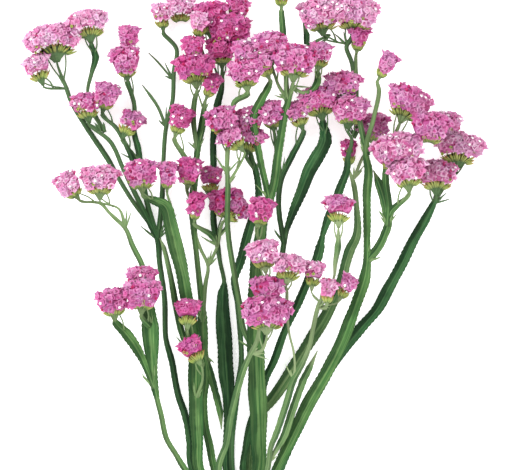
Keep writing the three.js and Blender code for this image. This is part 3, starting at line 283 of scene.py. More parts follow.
FLOOR_GAP = 0.1  # nothing comes nearer to the table than this


class Mesh:
    """Points in millimetres, faces and named values per point, gathered into one Blender mesh."""

    def __init__(self, *names):
        self.points, self.faces, self.values, self.count = [], [], {name: [] for name in names}, 0

    def add(self, points, faces, **values):
        points = np.asarray(points, float).reshape(-1, 3)
        self.faces.extend((np.asarray(group) + self.count).tolist() for group in faces)
        self.points.append(points)
        for name, kept in self.values.items():
            kept.append(np.broadcast_to(np.asarray(values.get(name, 0.0), float), len(points)))
        self.count += len(points)

    def piece(self, name, material):
        mesh = bpy.data.meshes.new(name)
        faces = [face for group in self.faces for face in group]
        points = np.vstack(self.points)
        points[:, 2] = np.maximum(points[:, 2], FLOOR_GAP)
        mesh.from_pydata((points * MM).tolist(), [], faces)
        for key, kept in self.values.items():
            mesh.attributes.new(key, "FLOAT", "POINT").data.foreach_set("value", np.concatenate(kept))
        mesh.polygons.foreach_set("use_smooth", [True] * len(mesh.polygons))
        mesh.materials.append(material)
        mesh.update()
        made = bpy.data.objects.new(name, mesh)
        bpy.context.scene.collection.objects.link(made)
        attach(made, "root")
        return made


def tube_faces(rows, around):
    """Quads between rings of points, each ring with the same number of points."""
    k, i = np.meshgrid(np.arange(rows - 1), np.arange(around), indexing="ij")
    a, b = k * around + i, k * around + (i + 1) % around
    return np.stack([a, b, b + around, a + around], -1).reshape(-1, 4)


def closed_tube(rows, around):
    """The same, with a face over each end."""
    last = (rows - 1) * around
    return [tube_faces(rows, around), np.arange(around)[None, ::-1], np.arange(last, last + around)[None]]


def flat_tube(mesh, top, under, across, run, breadth, shade):
    """A closed tube from the rows of its upper side and its under side."""
    rings = np.concatenate([top, under[:, ::-1]], 1)
    rows, around = rings.shape[:2]
    breadth = np.repeat(np.broadcast_to(breadth, rows), around)
    mesh.add(rings, closed_tube(rows, around), across=np.tile([*across, *across[::-1]], rows),
             run=np.repeat(run, around), breadth=breadth, shade=shade)


WIDE_ACROSS = np.array([1, 0.76, 0.44, 0.17, -0.17, -0.44, -0.76, -1])
TWIG_ACROSS = np.array([1, 0.5, -0.5, -1])
STRAP_LEAST = 4  # narrower than this, a stem is a round twig
WIDE_LEAST = 7.4  # at least this wide, a strap has fine teeth
WIDE_STEP = 1.25
STRAP_STEP = 2.3
TWIG_STEP = 3.2
TWIG_SHARE = 0.72  # twigs are drawn this much finer than they are planned
TWIG_HALF = 1  # where half its width is no more than this
STRAP_HALF = 2.5  # and from here on a stem is drawn as wide as planned
WING_FROM = 3  # a stem wider than this begins to have wings
WING_GROWS = 4  # and has full ones when it is this much wider
WAVE_LENGTH = 34
WAVE_TURNS = (2 * math.pi, 5.1)  # the two wings of a strap wave out of step
WAVE_DEPTH = 0.05
TOOTH_LENGTH = 3.75
TOOTH_DEPTH = 0.75
TOOTH_PATCH = 19  # the teeth come and go along a wing
TOOTH_LEAST = 0.3
FLUTTER_LENGTH = 17
FLUTTER_TURNS = (2 * math.pi, 5.3)
FLUTTER_HEIGHT = 0.5
FOLD = (0.08, 0.42)  # slope of the wings, up or down from the core
FOLD_LENGTH = 60  # the slope grows and shrinks over this length
CORE_FALL = 1.75  # how far from its middle the core thins out to the wings


def stem_skin(mesh, points):
    """One strap or twig with its wings, from its root to where its comb fans out."""
    widest = max(p[3] for p in points)
    strap = widest > STRAP_LEAST
    across = WIDE_ACROSS if strap else TWIG_ACROSS
    line = smooth_line(points, WIDE_STEP if widest > WIDE_LEAST else STRAP_STEP if strap else TWIG_STEP)
    middle, half = line[:, :3], line[:, 3:] / 2
    half = half * np.interp(half, (TWIG_HALF, STRAP_HALF), (TWIG_SHARE, 1))
    tangent = unit(np.gradient(middle, axis=0))
    side = unit(np.cross(tangent, (0, 0, 1)))
    over = np.cross(side, tangent)
    run = np.concatenate([[0], np.cumsum(np.linalg.norm(np.diff(middle, axis=0), axis=1))])[:, None]
    winged = np.clip((2 * half - WING_FROM) / WING_GROWS, 0, 1)
    phase = rng.uniform(0, 2 * math.pi, 6)
    fold = rng.uniform(*FOLD, 2) * rng.choice([-1, 1], 2)

    def each_wing(values):
        return np.where(across[None, :] < 0, values[0], values[1])

    wave = np.sin(run / WAVE_LENGTH * each_wing(WAVE_TURNS) + each_wing(phase[:2]))
    patch = np.sin(run / TOOTH_PATCH + phase[4]) ** 2
    saw = (run / TOOTH_LENGTH + each_wing(phase[2:4])) % 1 * (TOOTH_LEAST + (1 - TOOTH_LEAST) * patch)
    outer = np.abs(across) > 0.99
    lateral = across * (half * (1 + WAVE_DEPTH * wave * winged) - TOOTH_DEPTH * saw * winged * outer)
    flutter = np.sin(run / FLUTTER_LENGTH * each_wing(FLUTTER_TURNS) + each_wing(phase[4:]))
    fold = each_wing(fold) * (1 + 0.5 * np.sin(run / FOLD_LENGTH + phase[0]))
    lift = winged * (fold * np.abs(lateral) + FLUTTER_HEIGHT * flutter * across ** 2)
    core = np.minimum(STEM_CORE, np.maximum(half * 1.5, 1.2)) / 2
    edge = np.minimum(core * 0.6, WING_EDGE / 2)
    thick = edge + (core - edge) * np.exp(-(lateral / CORE_FALL) ** 2)
    base = middle[:, None] + side[:, None] * lateral[..., None]
    top = base + over[:, None] * (lift + thick)[..., None]
    under = base + over[:, None] * (lift - thick)[..., None]
    flat_tube(mesh, top, under, across, run[:, 0], 2 * half[:, 0], rng.uniform(0, 1))


KNUCKLE_WIDTH = 1.7
BARE_TIP = 0.9
WIDE_COMB = 18  # a comb wider than this has hair-thin side twigs under it
SIDE_TWIGS = (-0.75, 0.75)  # where they end, as shares of the comb's spread
SIDE_TWIG_FORK = (7, 14)
SIDE_TWIG_BOW = 1.6
SIDE_TWIG_WIDTHS = (1.9, 1.5, 1.3)


def grow(mesh, points, comb):
    """Bends a stem's last points so that it ends where its comb fans out. A bare one thins to a tip."""
    if comb is None:
        stem_skin(mesh, [*points[:-1], [*points[-1][:3], BARE_TIP]])
        return
    keep = [p for i, p in enumerate(points[:-1]) if i == 0 or (comb.hub - p[:3]) @ comb.out > LAST_STEP]
    knuckle = spoke(comb, 0, comb.radius * 0.4)
    stem_skin(mesh, [*keep, [*comb.hub, points[-1][3]], [*knuckle, KNUCKLE_WIDTH]])
    back = keep[-1][:3] - comb.hub
    for side in SIDE_TWIGS if comb.width > WIDE_COMB else ():
        fork = comb.hub + unit(back) * min(0.8 * np.linalg.norm(back), rng.uniform(*SIDE_TWIG_FORK))
        tip = spoke(comb, comb.spread * side, comb.radius * 0.86)
        bow = (fork + tip) / 2 + comb.along * side * SIDE_TWIG_BOW
        stem_skin(mesh, [[*p, width] for p, width in zip((fork, bow, tip), SIDE_TWIG_WIDTHS)])


FAN_PITCH = 2.6
FAN_ROWS = np.array([0.0, 0.3, 0.6, 0.82, 1.0])


def fan(mesh, comb):
    """The small green fan that a twig ends in: thick at its root, thin and scalloped at its rim."""
    teeth = max(5, round(comb.width / FAN_PITCH))
    share = np.linspace(-1, 1, 2 * teeth + 1)[None, :]
    point = (np.arange(2 * teeth + 1) % 2)[None, :]
    t = FAN_ROWS[:, None]
    scallop = 0.3 + 0.5 * point * rng.uniform(0.7, 1, share.shape)
    reach = comb.radius * (0.2 + 0.72 * t) + t ** 3 * TEETH_HEIGHT * scallop
    angle = comb.spread * share * (0.55 + 0.45 * t)
    half = 0.85 - 0.5 * t
    wavy = 0.5 * t * np.sin(share * 9 + rng.uniform(0, 6))
    root = comb.along * (share * 0.7 * (1 - t))[..., None]
    top = spoke(comb, angle, reach, wavy + half) + root
    under = spoke(comb, angle, reach, wavy - half) + root
    flat_tube(mesh, top, under, share[0], FAN_ROWS * 12, 2.0, 0.5)


BRACT_THICK = 0.28
BRACT_ACROSS = np.array([[1, 0, -1, 0], [0.35, 1, 0.35, -0.4]])  # sideways and outwards
BRACT_SHAPE = np.array([[0, 0.45], [0.25, 0.95], [0.55, 1], [0.8, 0.6], [1, 0.08]])  # along and breadth


def scale_leaf(mesh, root, direction, outward, length, width, curl=0.0, **values):
    """One boat-shaped scale leaf, keeled on its outer side and pointed at its tip."""
    side = unit(np.cross(direction, outward))
    keel = np.cross(side, direction)
    t, w = BRACT_SHAPE[:, :1, None], BRACT_SHAPE[:, 1:, None]
    across, out = BRACT_ACROSS[:, None, :, None]
    points = (root + direction * length * t + side * width / 2 * w * across
              + keel * (BRACT_THICK * w * out + curl * t ** 2))
    rows, around = points.shape[:2]
    mesh.add(points, closed_tube(rows, around), tip=np.repeat(BRACT_SHAPE[:, 0], around), **values)


def srgb(code):
    parts = [int(code[i:i + 2], 16) / 255 for i in (1, 3, 5)]
    return (*[p / 12.92 if p <= 0.04045 else ((p + 0.055) / 1.055) ** 2.4 for p in parts], 1)


def fill(tree, socket, value):
    """Links what another node gives, or sets a plain value or colour code on the socket itself."""
    if isinstance(value, bpy.types.NodeSocket):
        tree.links.new(value, socket)
    else:
        socket.default_value = srgb(value) if isinstance(value, str) else value


def node(tree, kind, inputs=None, **settings):
    made = tree.nodes.new(kind)
    for key, value in settings.items():
        setattr(made, key, value)
    for key, value in (inputs or {}).items():
        fill(tree, made.inputs[key], value)
    return made


def attribute(tree, name):
    return node(tree, "ShaderNodeAttribute", attribute_name=name).outputs["Fac"]


def object_place(tree):
    return node(tree, "ShaderNodeTexCoord").outputs["Object"]


def noise(tree, scale, detail, place=None):
    """Noise from 0 to 1 in the space of place, or else in the space of the object's box."""
    space = {} if place is None else {"Vector": place}
    return node(tree, "ShaderNodeTexNoise", {**space, "Scale": scale, "Detail": detail}).outputs["Fac"]


def blend_colour(tree, share, a, b):
    made = node(tree, "ShaderNodeMix", {"Factor": share}, data_type="RGBA")
    for key, value in (("A", a), ("B", b)):
        fill(tree, next(s for s in made.inputs if s.name == key and s.type == "RGBA"), value)
    return next(s for s in made.outputs if s.type == "RGBA")


def maths(tree, operation, *values, clamp=False):
    made = node(tree, "ShaderNodeMath", dict(enumerate(values)), operation=operation, use_clamp=clamp)
    return made.outputs[0]


def spread_between(tree, value, low, high):
    """0 at low and 1 at high, smooth between."""
    made = node(tree, "ShaderNodeMapRange", {"Value": value, "From Min": low, "From Max": high},
                interpolation_type="SMOOTHSTEP")
    return made.outputs["Result"]


def bump(tree, height, distance, strength):
    made = node(tree, "ShaderNodeBump", {"Height": height, "Distance": distance, "Strength": strength})
    return made.outputs["Normal"]


def finish(name, inputs_of, *colours):
    """A material whose shader is filled with what a function gives for its node tree."""
    made = bpy.data.materials.new(name)
    made.use_nodes = True
    tree = made.node_tree
    shader = tree.nodes["Principled BSDF"]
    for key, value in inputs_of(tree, *colours).items():
        fill(tree, shader.inputs[key], value)
    return made


def fibre_group():
    """Fine fibres that run along a strap: a streak mask, a blotch mask and a height for bumps."""
    group = bpy.data.node_groups.new("dried_fibre", "ShaderNodeTree")
    sockets = group.interface
    sockets.new_socket("Fineness", in_out="INPUT", socket_type="NodeSocketFloat")
    for name in ("Streak", "Blotch", "Height"):
        sockets.new_socket(name, in_out="OUTPUT", socket_type="NodeSocketFloat")
    start, place = node(group, "NodeGroupInput"), object_place(group)
    lengthwise = node(group, "ShaderNodeCombineXYZ", {
        "X": maths(group, "MULTIPLY", attribute(group, "across"), start.outputs["Fineness"]),
        "Y": maths(group, "MULTIPLY", attribute(group, "run"), 0.02),
        "Z": maths(group, "MULTIPLY", attribute(group, "breadth"), 0.4)})
    fibres = noise(group, 1.0, 3.0, lengthwise.outputs[0])
    blotches, pores = noise(group, 70.0, 4.0, place), noise(group, 1400.0, 2.0, place)
    node(group, "NodeGroupOutput", {"Streak": spread_between(group, fibres, 0.36, 0.66),
                                    "Blotch": spread_between(group, blotches, 0.4, 0.7),
                                    "Height": maths(group, "MULTIPLY_ADD", pores, 0.25, fibres)})
    return group


dried_fibre = fibre_group()


def green_strap(tree, body, deep, dark, pale, twig):
    """Matte green: one wing darkened with painted shade, fine dark lines along it, and a thin dark margin."""
    fibre = node(tree, "ShaderNodeGroup", {"Fineness": 6.0}, node_tree=dried_fibre)
    lines = node(tree, "ShaderNodeGroup", {"Fineness": 19.0}, node_tree=dried_fibre)
    across, shade = attribute(tree, "across"), attribute(tree, "shade")
    streak, blotch = fibre.outputs["Streak"], fibre.outputs["Blotch"]
    away = maths(tree, "ABSOLUTE", across)
    ridge = maths(tree, "SUBTRACT", 1.0, spread_between(tree, away, 0.02, 0.14))
    margin = spread_between(tree, away, 0.78, 1.0)
    # Painted shade: one wing of each stem, the left or the right by its shade value, is darkened as if it
    # faced away from the light.
    facing = maths(tree, "SIGN", maths(tree, "SUBTRACT", shade, 0.5))
    painted_shade_wing = maths(tree, "MULTIPLY_ADD", facing, across, maths(tree, "MULTIPLY", blotch, 0.3))
    thin = spread_between(tree, attribute(tree, "breadth"), 5.5, 2.0)
    along = noise(tree, 22.0, 2.0, object_place(tree))
    drift = maths(tree, "MULTIPLY_ADD", maths(tree, "SUBTRACT", along, 0.5), 1.6, shade)
    colour = blend_colour(tree, maths(tree, "MULTIPLY", drift, 0.9, clamp=True), body, deep)
    # The dark tint is painted shade on that wing, and the stems' own colour in the fine lines, blotches and
    # margin.
    layers = ((streak, 0.45, pale), (spread_between(tree, painted_shade_wing, 0.0, 0.4), 0.62, dark),
              (lines.outputs["Streak"], 0.45, dark), (blotch, 0.3, dark), (ridge, 0.22, pale),
              (margin, 0.3, dark), (thin, 0.6, twig))
    for share, strength, tint in layers:
        colour = blend_colour(tree, maths(tree, "MULTIPLY", share, strength), colour, tint)
    return {"Base Color": colour, "Roughness": maths(tree, "MULTIPLY_ADD", streak, 0.16, 0.52),
            "Normal": bump(tree, lines.outputs["Height"], 0.0005, 0.6), "Specular IOR Level": 0.12}


STEM_FINISHES = {
    # The dark finish is partly the deeper green some stems have and partly painted shade, darker for the
    # shade that falls among the close stems.
    "dark": finish("strap_green_dark", green_strap, "#2C5E32", "#183F22", "#071D0E", "#5C8252", "#627C54"),
    "mid": finish("strap_green_mid", green_strap, "#427238", "#25522A", "#0D2B14", "#84A264", "#84986A"),
    "pale": finish("strap_green_pale", green_strap, "#5A7E4A", "#416839", "#1D4022", "#98AC78", "#98A67C"),
}


SLOT_WIDTH = 5.6
TAIL_SLICE = 1.2  # the points this near to the cut end count as the end


def tail_end(spray):
    """The cut end of the stem below the band, where the solid model has it."""
    points = np.array([v.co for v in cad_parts["spray_" + spray["name"]].data.vertices]) / MM
    return points[points[:, 1] < points[:, 1].min() + TAIL_SLICE].mean(0)


def raised(spray, points, lift):
    """The points of a path with their heights: x, y, z, width."""
    share = np.linspace(0, 1, len(points))
    return [(x, y, layer_height(spray["layer"], y) + lift[0] + (lift[1] - lift[0]) * t, width)
            for (x, y, width), t in zip(points, share)]


FORK_TURNS = (0.42, -0.36)  # the two broad bracts at a fork point a little to each side
FORK_BRACT = 9  # their length
AWL_LEAST = 3.7  # a stem at least this wide has three narrow bracts at its root, others have one
AWL_LENGTH = (9, 19)
AWL_WIDTH = 1.35


def fork_bracts(mesh, path):
    """The pointed bracts at a fork: two short and broad, and long narrow ones where a wing ends."""
    heading = unit(np.array(path[1][:3]) - path[0][:3])
    root, width = np.array(path[0][:3]), min(4.2, 0.7 + 0.36 * path[0][3])
    bracts = [(turn, rng.uniform(0.7, 1.1) * FORK_BRACT, width) for turn in FORK_TURNS]
    bracts += [(rng.uniform(0.2, 0.7) * rng.choice([-1, 1]), rng.uniform(*AWL_LENGTH), AWL_WIDTH)
               for _ in range(3 if path[0][3] >= AWL_LEAST else 1)]
    for turn, length, wide in bracts:
        c, s = math.cos(turn), math.sin(turn)
        way = np.array([heading[0] * c - heading[1] * s, heading[0] * s + heading[1] * c, heading[2] + 0.12])
        scale_leaf(mesh, root, unit(way), np.array([0, 0, 1.0]), length, wide,
                   across=0.5, run=40.0, breadth=3.0, shade=0.4)


heads = {}  # name of a flower head: how far up the bunch its combs lie, and the combs
for spray in SPRAYS:
    for end in spray["stalks"]:
        if end.head:
            head = heads.setdefault(end.head, SimpleNamespace(along=[], combs=[]))
            head.along += [comb[1] for comb in end.combs]

for spray in SPRAYS:
    strap = Mesh("across", "run", "breadth", "shade")
    spray["frames"] = []
    trunk = spray["stalks"][0]
    tail, slot_x, first = tail_end(spray), spray["slot"] * SLOT_PITCH, trunk.points[0]
    base = [(tail[0], tail[1], SLOT_WIDTH), (slot_x * 1.25, tail[1] * 0.35, SLOT_WIDTH),
            (slot_x, 0, SLOT_WIDTH), (slot_x * 0.6 + first[0] * 0.4, first[1] / 2, SLOT_WIDTH)]
    for end in spray["stalks"]:
        path = raised(spray, base + end.points if end is trunk else end.points, end.lift)
        frames = []
        if end.head:
            head = heads[end.head]
            middle = sum(head.along) / len(head.along)
            frames = [comb_frame(path[-1][2] + (middle - comb[1]) * COMB_STAGGER, *comb)
                      for comb in end.combs]
            head.combs += frames
            spray["frames"] += frames
            fan(strap, frames[0])
        grow(strap, [np.array(p) for p in path], frames[0] if frames else None)
        if end is not trunk:
            fork_bracts(strap, path)
    piece = strap.piece("stems_" + spray["name"], STEM_FINISHES[spray["tone"]])
    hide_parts("spray_" + spray["name"])

# ---- Bracts -----------------------------------------------------------------------------------------
# Under every comb of flowers sit rows of small pointed scale leaves. They are yellow green, dried thin,
# and turn rusty where they meet the pink calyces that grow out of them.

BRACT_PITCH = 2.2
BRACT_LENGTH = 4.8
BRACT_WIDTH = 1.6
BRACT_SPREAD = 1.3  # the bracts fan out more than the comb they grow on


def bract_rows(mesh, comb):
    count = max(3, round(comb.width / BRACT_PITCH))
    deep = comb.rows / 2
    for layer in (-1, 0, 1):
        for k in range(count + (layer != 0)):
            share = (2 * k + (layer == 0)) / count - 1 + rng.uniform(-0.06, 0.06)
            angle = comb.spread * share * 1.02
            root = spoke(comb, angle, comb.radius * 0.72, layer * 0.5 * deep)
            aim = spoke(comb, angle * BRACT_SPREAD, comb.radius + TEETH_HEIGHT + 1.2,
                        layer * (0.5 + 1.1 * deep) + rng.uniform(-0.4, 0.4))
            outward = comb.front * (layer or rng.choice([-1, 1]))
            length = BRACT_LENGTH * rng.uniform(0.75, 1.4) + 0.15 * comb.radius
            scale_leaf(mesh, root, unit(aim - root), outward, length, BRACT_WIDTH * rng.uniform(0.8, 1.15),
                       curl=rng.uniform(0, 0.6), shade=rng.uniform(0, 1))


def yellow_bract(tree):
    """Green at the root, yellow green further out, paler from leaf to leaf, and rusty at some tips."""
    tip, shade = attribute(tree, "tip"), attribute(tree, "shade")
    rusty = maths(tree, "MULTIPLY", spread_between(tree, tip, 0.55, 1.0),
                  spread_between(tree, shade, 0.45, 0.8))
    colour = blend_colour(tree, spread_between(tree, tip, 0.05, 0.5), "#3A622C", "#84983F")
    colour = blend_colour(tree, maths(tree, "MULTIPLY", shade, 0.45), colour, "#C6C878")
    colour = blend_colour(tree, maths(tree, "MULTIPLY", rusty, 0.75), colour, "#C4593F")
    grain = bump(tree, noise(tree, 1500.0, 3.0), 0.0002, 0.4)
    return {"Base Color": colour, "Roughness": 0.6, "Normal": grain}


bract_green = finish("bract_yellow_green", yellow_bract)
for spray in SPRAYS:
    scales = Mesh("tip", "shade")
    for comb in spray["frames"]:
        bract_rows(scales, comb)
    scales.piece("bracts_" + spray["name"], bract_green)

# ---- Flower heads -----------------------------------------------------------------------------------
# What stays of statice flowers is the papery calyx: a small pleated funnel, magenta in its throat and
# paler at its ruffled rim. They stand in close rows along each comb, dried stiff. A few are rolled shut,
# those by the bracts are partly young and yellow green, and a few still hold the tiny white flower.

CORE_HALF = 2.8
CORE_PITCH = 2.5
CORE_SHARE = 0.7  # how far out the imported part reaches, as a share of a calyx
CORE_SEAT = 0.6  # where the calyces are rooted, as a share of the core's height
ROW_LEAN = {2: 34, 3: 29, 4: 24}
DROOP = math.radians(6)  # the front and back rows hang over the bracts
SHORTEST = 0.8  # the front and back rows, as a share of the middle ones
FUNNEL_PITCH = 3.8
FUNNEL_RADIUS = 2.85
FUNNEL_SIDES = 10
# Width, height and depth of the pleats of each ring: up the outside, and down into the throat again.
FUNNEL_RINGS = np.array([[0.14, 0.0, 0.0], [0.55, 0.66, 0.11], [1.0, 1.0, 0.19], [0.94, 1.04, 0.19],
                         [0.5, 0.9, 0.14]])
THROAT = 0.62  # how high the bottom of the throat lies, as a share of a calyx
FUNNEL_SUNK = 0.6  # a funnel begins this far below its seat
HIGHEST = 80.2  # the highest rims are pressed down to here
ROLLED_SHARE = 0.12
ROLLED_WIDTH = 0.42  # a rolled calyx, as a share of an open one
YOUNG_ROW = 0.13  # the front share of the rows, where young calyces stand
YOUNG_SHARE = 0.35  # of the calyces there, still rolled and yellow green
FLOWER_SHARE = 0.08
ASTRAY = 0.13  # how far the calyces lean away from their rows, one more and one less
SQUASHED = 0.66  # the flattest funnel, as a share of its width
RUFFLE = 0.22
CRIMP = 0.15
PETAL_TIPS = (1.6, 0.8)  # how far a petal of the white flower reaches, and the gap beside it


def lean_most(comb):
    return math.radians(ROW_LEAN[comb.rows]) * comb.rows + DROOP


def calyx_seat(comb, u, turn):
    """Where a calyx is rooted, at u across its comb and turn round it, and the way it leans there."""
    bulge = CORE_HEIGHT * 0.4 * (comb.rows / 2) ** 2
    height = comb.radius + TEETH_HEIGHT + CALYX_GAP + CORE_HEIGHT * CORE_SEAT + bulge * np.cos(turn)
    root = spoke(comb, comb.spread * u, height, CORE_HALF * comb.rows / 2 * np.sin(turn))
    lean = (turn / (math.pi / 2) * lean_most(comb) + 0 * u)[..., None]
    away = unit(spoke(comb, comb.spread * u, 1.0) - comb.hub)
    return root, away * np.cos(lean) + comb.front * np.sin(lean)


def calyx_core(mesh, comb):
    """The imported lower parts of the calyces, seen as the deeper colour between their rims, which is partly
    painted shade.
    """
    columns, turns = max(4, round(comb.width / CORE_PITCH)), 3 * comb.rows
    share = np.linspace(-1, 1, columns + 1)[:, None]
    turn = np.linspace(math.pi / 2, -math.pi / 2, turns + 1)[None, :]
    root, axis = calyx_seat(comb, share, turn)
    plump = CALYX_LENGTH * CORE_SHARE * np.sqrt(1 - 0.9 * share ** 4)
    plump = plump * rng.uniform(0.82, 1.12, axis.shape[:2])
    low = comb.radius + TEETH_HEIGHT + CALYX_GAP - 0.5
    foot = spoke(comb, comb.spread * share, low, np.zeros((1, 1)))
    rings = np.concatenate([root + axis * plump[..., None], foot], 1)
    mesh.add(rings, closed_tube(columns + 1, turns + 2), height=0.42, shade=0.3)


def funnels(mesh, comb):
    """All the funnels of one comb at once, in rows from its front to its back."""
    rim = comb.radius + TEETH_HEIGHT + CORE_HEIGHT + CALYX_LENGTH
    rows = max(3, round(2 * lean_most(comb) * (CALYX_LENGTH + CORE_HALF) * 0.9 / FUNNEL_PITCH))
    columns = max(3, round(2 * comb.spread * rim / FUNNEL_PITCH))
    v = np.repeat((np.arange(rows) + 0.5) / rows, columns)
    u = np.tile((np.arange(columns) + 0.5) / columns * 2 - 1, rows)
    u = u + np.where(np.arange(rows * columns) // columns % 2, 0.5, -0.5) / columns
    count = len(u)
    v = np.clip(v + rng.uniform(-0.3, 0.3, count) / rows, 0, 1)
    u = np.clip(u + rng.uniform(-0.35, 0.35, count) / columns, -1, 1)
    u = u * (1 - 0.8 * FUNNEL_RADIUS / (comb.spread * rim))
    root, axis = calyx_seat(comb, u, math.pi * (0.5 - v))
    axis = unit(axis + rng.normal(0, ASTRAY, (count, 3)))
    middling = 1 - (1 - SHORTEST) * np.abs(1 - 2 * v) ** 2
    length = (CALYX_LENGTH + FUNNEL_SUNK) * rng.uniform(0.8, 1.02, count) * middling
    young = (v < YOUNG_ROW) & (rng.random(count) < YOUNG_SHARE)
    rolled = young | (rng.random(count) < ROLLED_SHARE)
    radius = FUNNEL_RADIUS * rng.uniform(0.82, 1.15, count) * np.where(rolled, ROLLED_WIDTH, 1)
    side = unit(np.cross(axis, rng.normal(0, 1, (count, 3))))
    over = np.cross(axis, side)
    squash = rng.uniform(SQUASHED, 1, count)
    corner = np.arange(FUNNEL_SIDES)
    theta = corner / FUNNEL_SIDES * 2 * math.pi
    pleat = np.where(corner % 2, -1.0, 1.0)
    droop = rng.uniform(0, 2 * math.pi, count)
    rings = []
    for wide, high, deep in FUNNEL_RINGS:
        fold = 1 + pleat * deep + rng.uniform(-deep, deep, (count, FUNNEL_SIDES)) * 0.8
        reach = radius[:, None] * wide * fold
        crimp = CRIMP * pleat * rng.uniform(0.2, 1, (count, FUNNEL_SIDES))
        ruffle = radius[:, None] * wide ** 2 * (RUFFLE * np.cos(2 * theta - droop[:, None]) + crimp)
        rise = (length[:, None] - FUNNEL_SUNK) * high + ruffle - FUNNEL_SUNK * (high == 0)
        rings.append(root[:, None] + axis[:, None] * rise[..., None]
                     + side[:, None] * (reach * np.cos(theta))[..., None]
                     + over[:, None] * (reach * np.sin(theta) * squash[:, None])[..., None])
    points = np.concatenate([*rings, (root + axis * (length * THROAT)[:, None])[:, None]], 1)
    points[..., 2] = np.minimum(points[..., 2], HIGHEST)
    heights = [*np.repeat(FUNNEL_RINGS[:, 1], FUNNEL_SIDES), THROAT]
    each = points.shape[1]
    beside = (corner + 1) % FUNNEL_SIDES
    last_ring = (len(rings) - 1) * FUNNEL_SIDES
    dip = np.stack([last_ring + corner, last_ring + beside, np.full(FUNNEL_SIDES, each - 1)], -1)
    starts = np.arange(count)[:, None, None] * each
    shade = np.repeat(rng.random(count) + 1.5 * rolled + 1.5 * young, each)
    mesh.add(points, [(starts + part[None]).reshape(-1, part.shape[1])
                      for part in (tube_faces(len(rings), FUNNEL_SIDES), dip, corner[None, ::-1])],
             height=np.tile(heights, count), shade=shade)
    star = np.where(corner % 2, PETAL_TIPS[1], PETAL_TIPS[0])[:, None]
    top = np.stack([corner, beside, np.full(FUNNEL_SIDES, FUNNEL_SIDES)], -1)
    low = np.stack([beside, corner, np.full(FUNNEL_SIDES, FUNNEL_SIDES + 1)], -1)
    for k in np.flatnonzero(~rolled & (rng.random(count) < FLOWER_SHARE)):
        centre = root[k] + axis[k] * length[k] * 0.98
        circle = side[k] * np.cos(theta)[:, None] + over[k] * np.sin(theta)[:, None]
        petals = centre + circle * star + axis[k] * 0.5
        if petals[:, 2].max() < HIGHEST:
            mesh.add([*petals, centre + axis[k] * 0.2, centre - axis[k] * 0.5], [top, low],
                     height=1.0, shade=0.5, white=1.0)


YOUNG_GREEN = "#96A84A"
PETAL_WHITE = "#FFF6FA"


def paper_calyx(tree, throat, body, cool, rim, bud):
    """Thin dry paper: veined lengthwise, deep in the throat with partly painted shade, and pale at the rim.
    """
    height, shade, place = attribute(tree, "height"), attribute(tree, "shade"), object_place(tree)
    mottle = maths(tree, "SUBTRACT", noise(tree, 260.0, 3.0, place), 0.5)
    climb = maths(tree, "MULTIPLY_ADD", mottle, 0.5, height)
    lilac = spread_between(tree, noise(tree, 95.0, 3.0, place), 0.45, 0.62)
    clumps = spread_between(tree, noise(tree, 110.0, 1.0, place), 0.5, 0.7)
    pale = maths(tree, "MULTIPLY", spread_between(tree, climb, 0.66, 1.15),
                 maths(tree, "MULTIPLY_ADD", shade, 0.8, 0.1, clamp=True))
    # Deep low in each funnel and in its throat: partly the calyx's own deeper magenta, partly painted shade
    # in the funnel's depth.
    colour = blend_colour(tree, spread_between(tree, climb, 0.1, 0.7), throat, body)
    layers = ((maths(tree, "MULTIPLY", lilac, 0.55), cool), (pale, rim),
              (maths(tree, "MULTIPLY", clumps, 0.45), throat), (spread_between(tree, shade, 1.3, 1.6), bud),
              (spread_between(tree, shade, 2.6, 2.9), YOUNG_GREEN), (attribute(tree, "white"), PETAL_WHITE))
    for share, tint in layers:
        colour = blend_colour(tree, share, colour, tint)
    veins = bump(tree, noise(tree, 1500.0, 2.0, place), 0.0003, 0.4)
    return {"Base Color": colour, "Normal": veins, "Roughness": 0.62, "Subsurface Weight": 0.3,
            "Subsurface Radius": (1.0, 0.5, 0.8), "Subsurface Scale": 0.002}


CALYX_FINISHES = {
    "deep": finish("calyx_deep", paper_calyx, "#93185A", "#B12775", "#A04B8D", "#C176A2", "#AA1350"),
    "mid": finish("calyx_mid", paper_calyx, "#9B2765", "#B44688", "#A26398", "#CA98B7", "#AD205C"),
    "light": finish("calyx_light", paper_calyx, "#AA457C", "#BF6598", "#B484AC", "#DDC0D2", "#B53970"),
}

DEEP_HEADS = ("deep_top", "upper_centre", "nodding", "tilted", "centre_small", "comb", "round_centre",
              "upright_centre", "ball", "bud", "single_upper", "single_lower")
LIGHT_HEADS = ("corner", "left_bank", "left_spike", "top_left", "pale", "crown", "top_far", "front_top",
               "thin_first", "thin_second", "right_low", "right_bank", "right_outer")

for name, head in heads.items():
    calyces = Mesh("height", "shade", "white")
    for comb in head.combs:
        calyx_core(calyces, comb)
        funnels(calyces, comb)
    tone = "deep" if name in DEEP_HEADS else "light" if name in LIGHT_HEADS else "mid"
    piece = calyces.piece("calyces_" + name, CALYX_FINISHES[tone])
    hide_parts("head_" + name)

# ---- Rubber band ------------------------------------------------------------------------------------
# A plain rubber band, wound three times round the stems to hold the bunch. It is soft natural rubber,
# stretched flat, with a dusty surface.

BAND_WALL = 3.3
BAND_WIDTH = 9
BAND_TURNS = 3
BAND_GROOVE = 1.1  # how deep the grooves between its turns are
BAND_ROOM = 4.6
BAND_REACH = 2.05  # how far the band passes the middles of the lowest and the highest stems
BAND_STEPS = 96
STRAND_STEPS = 8


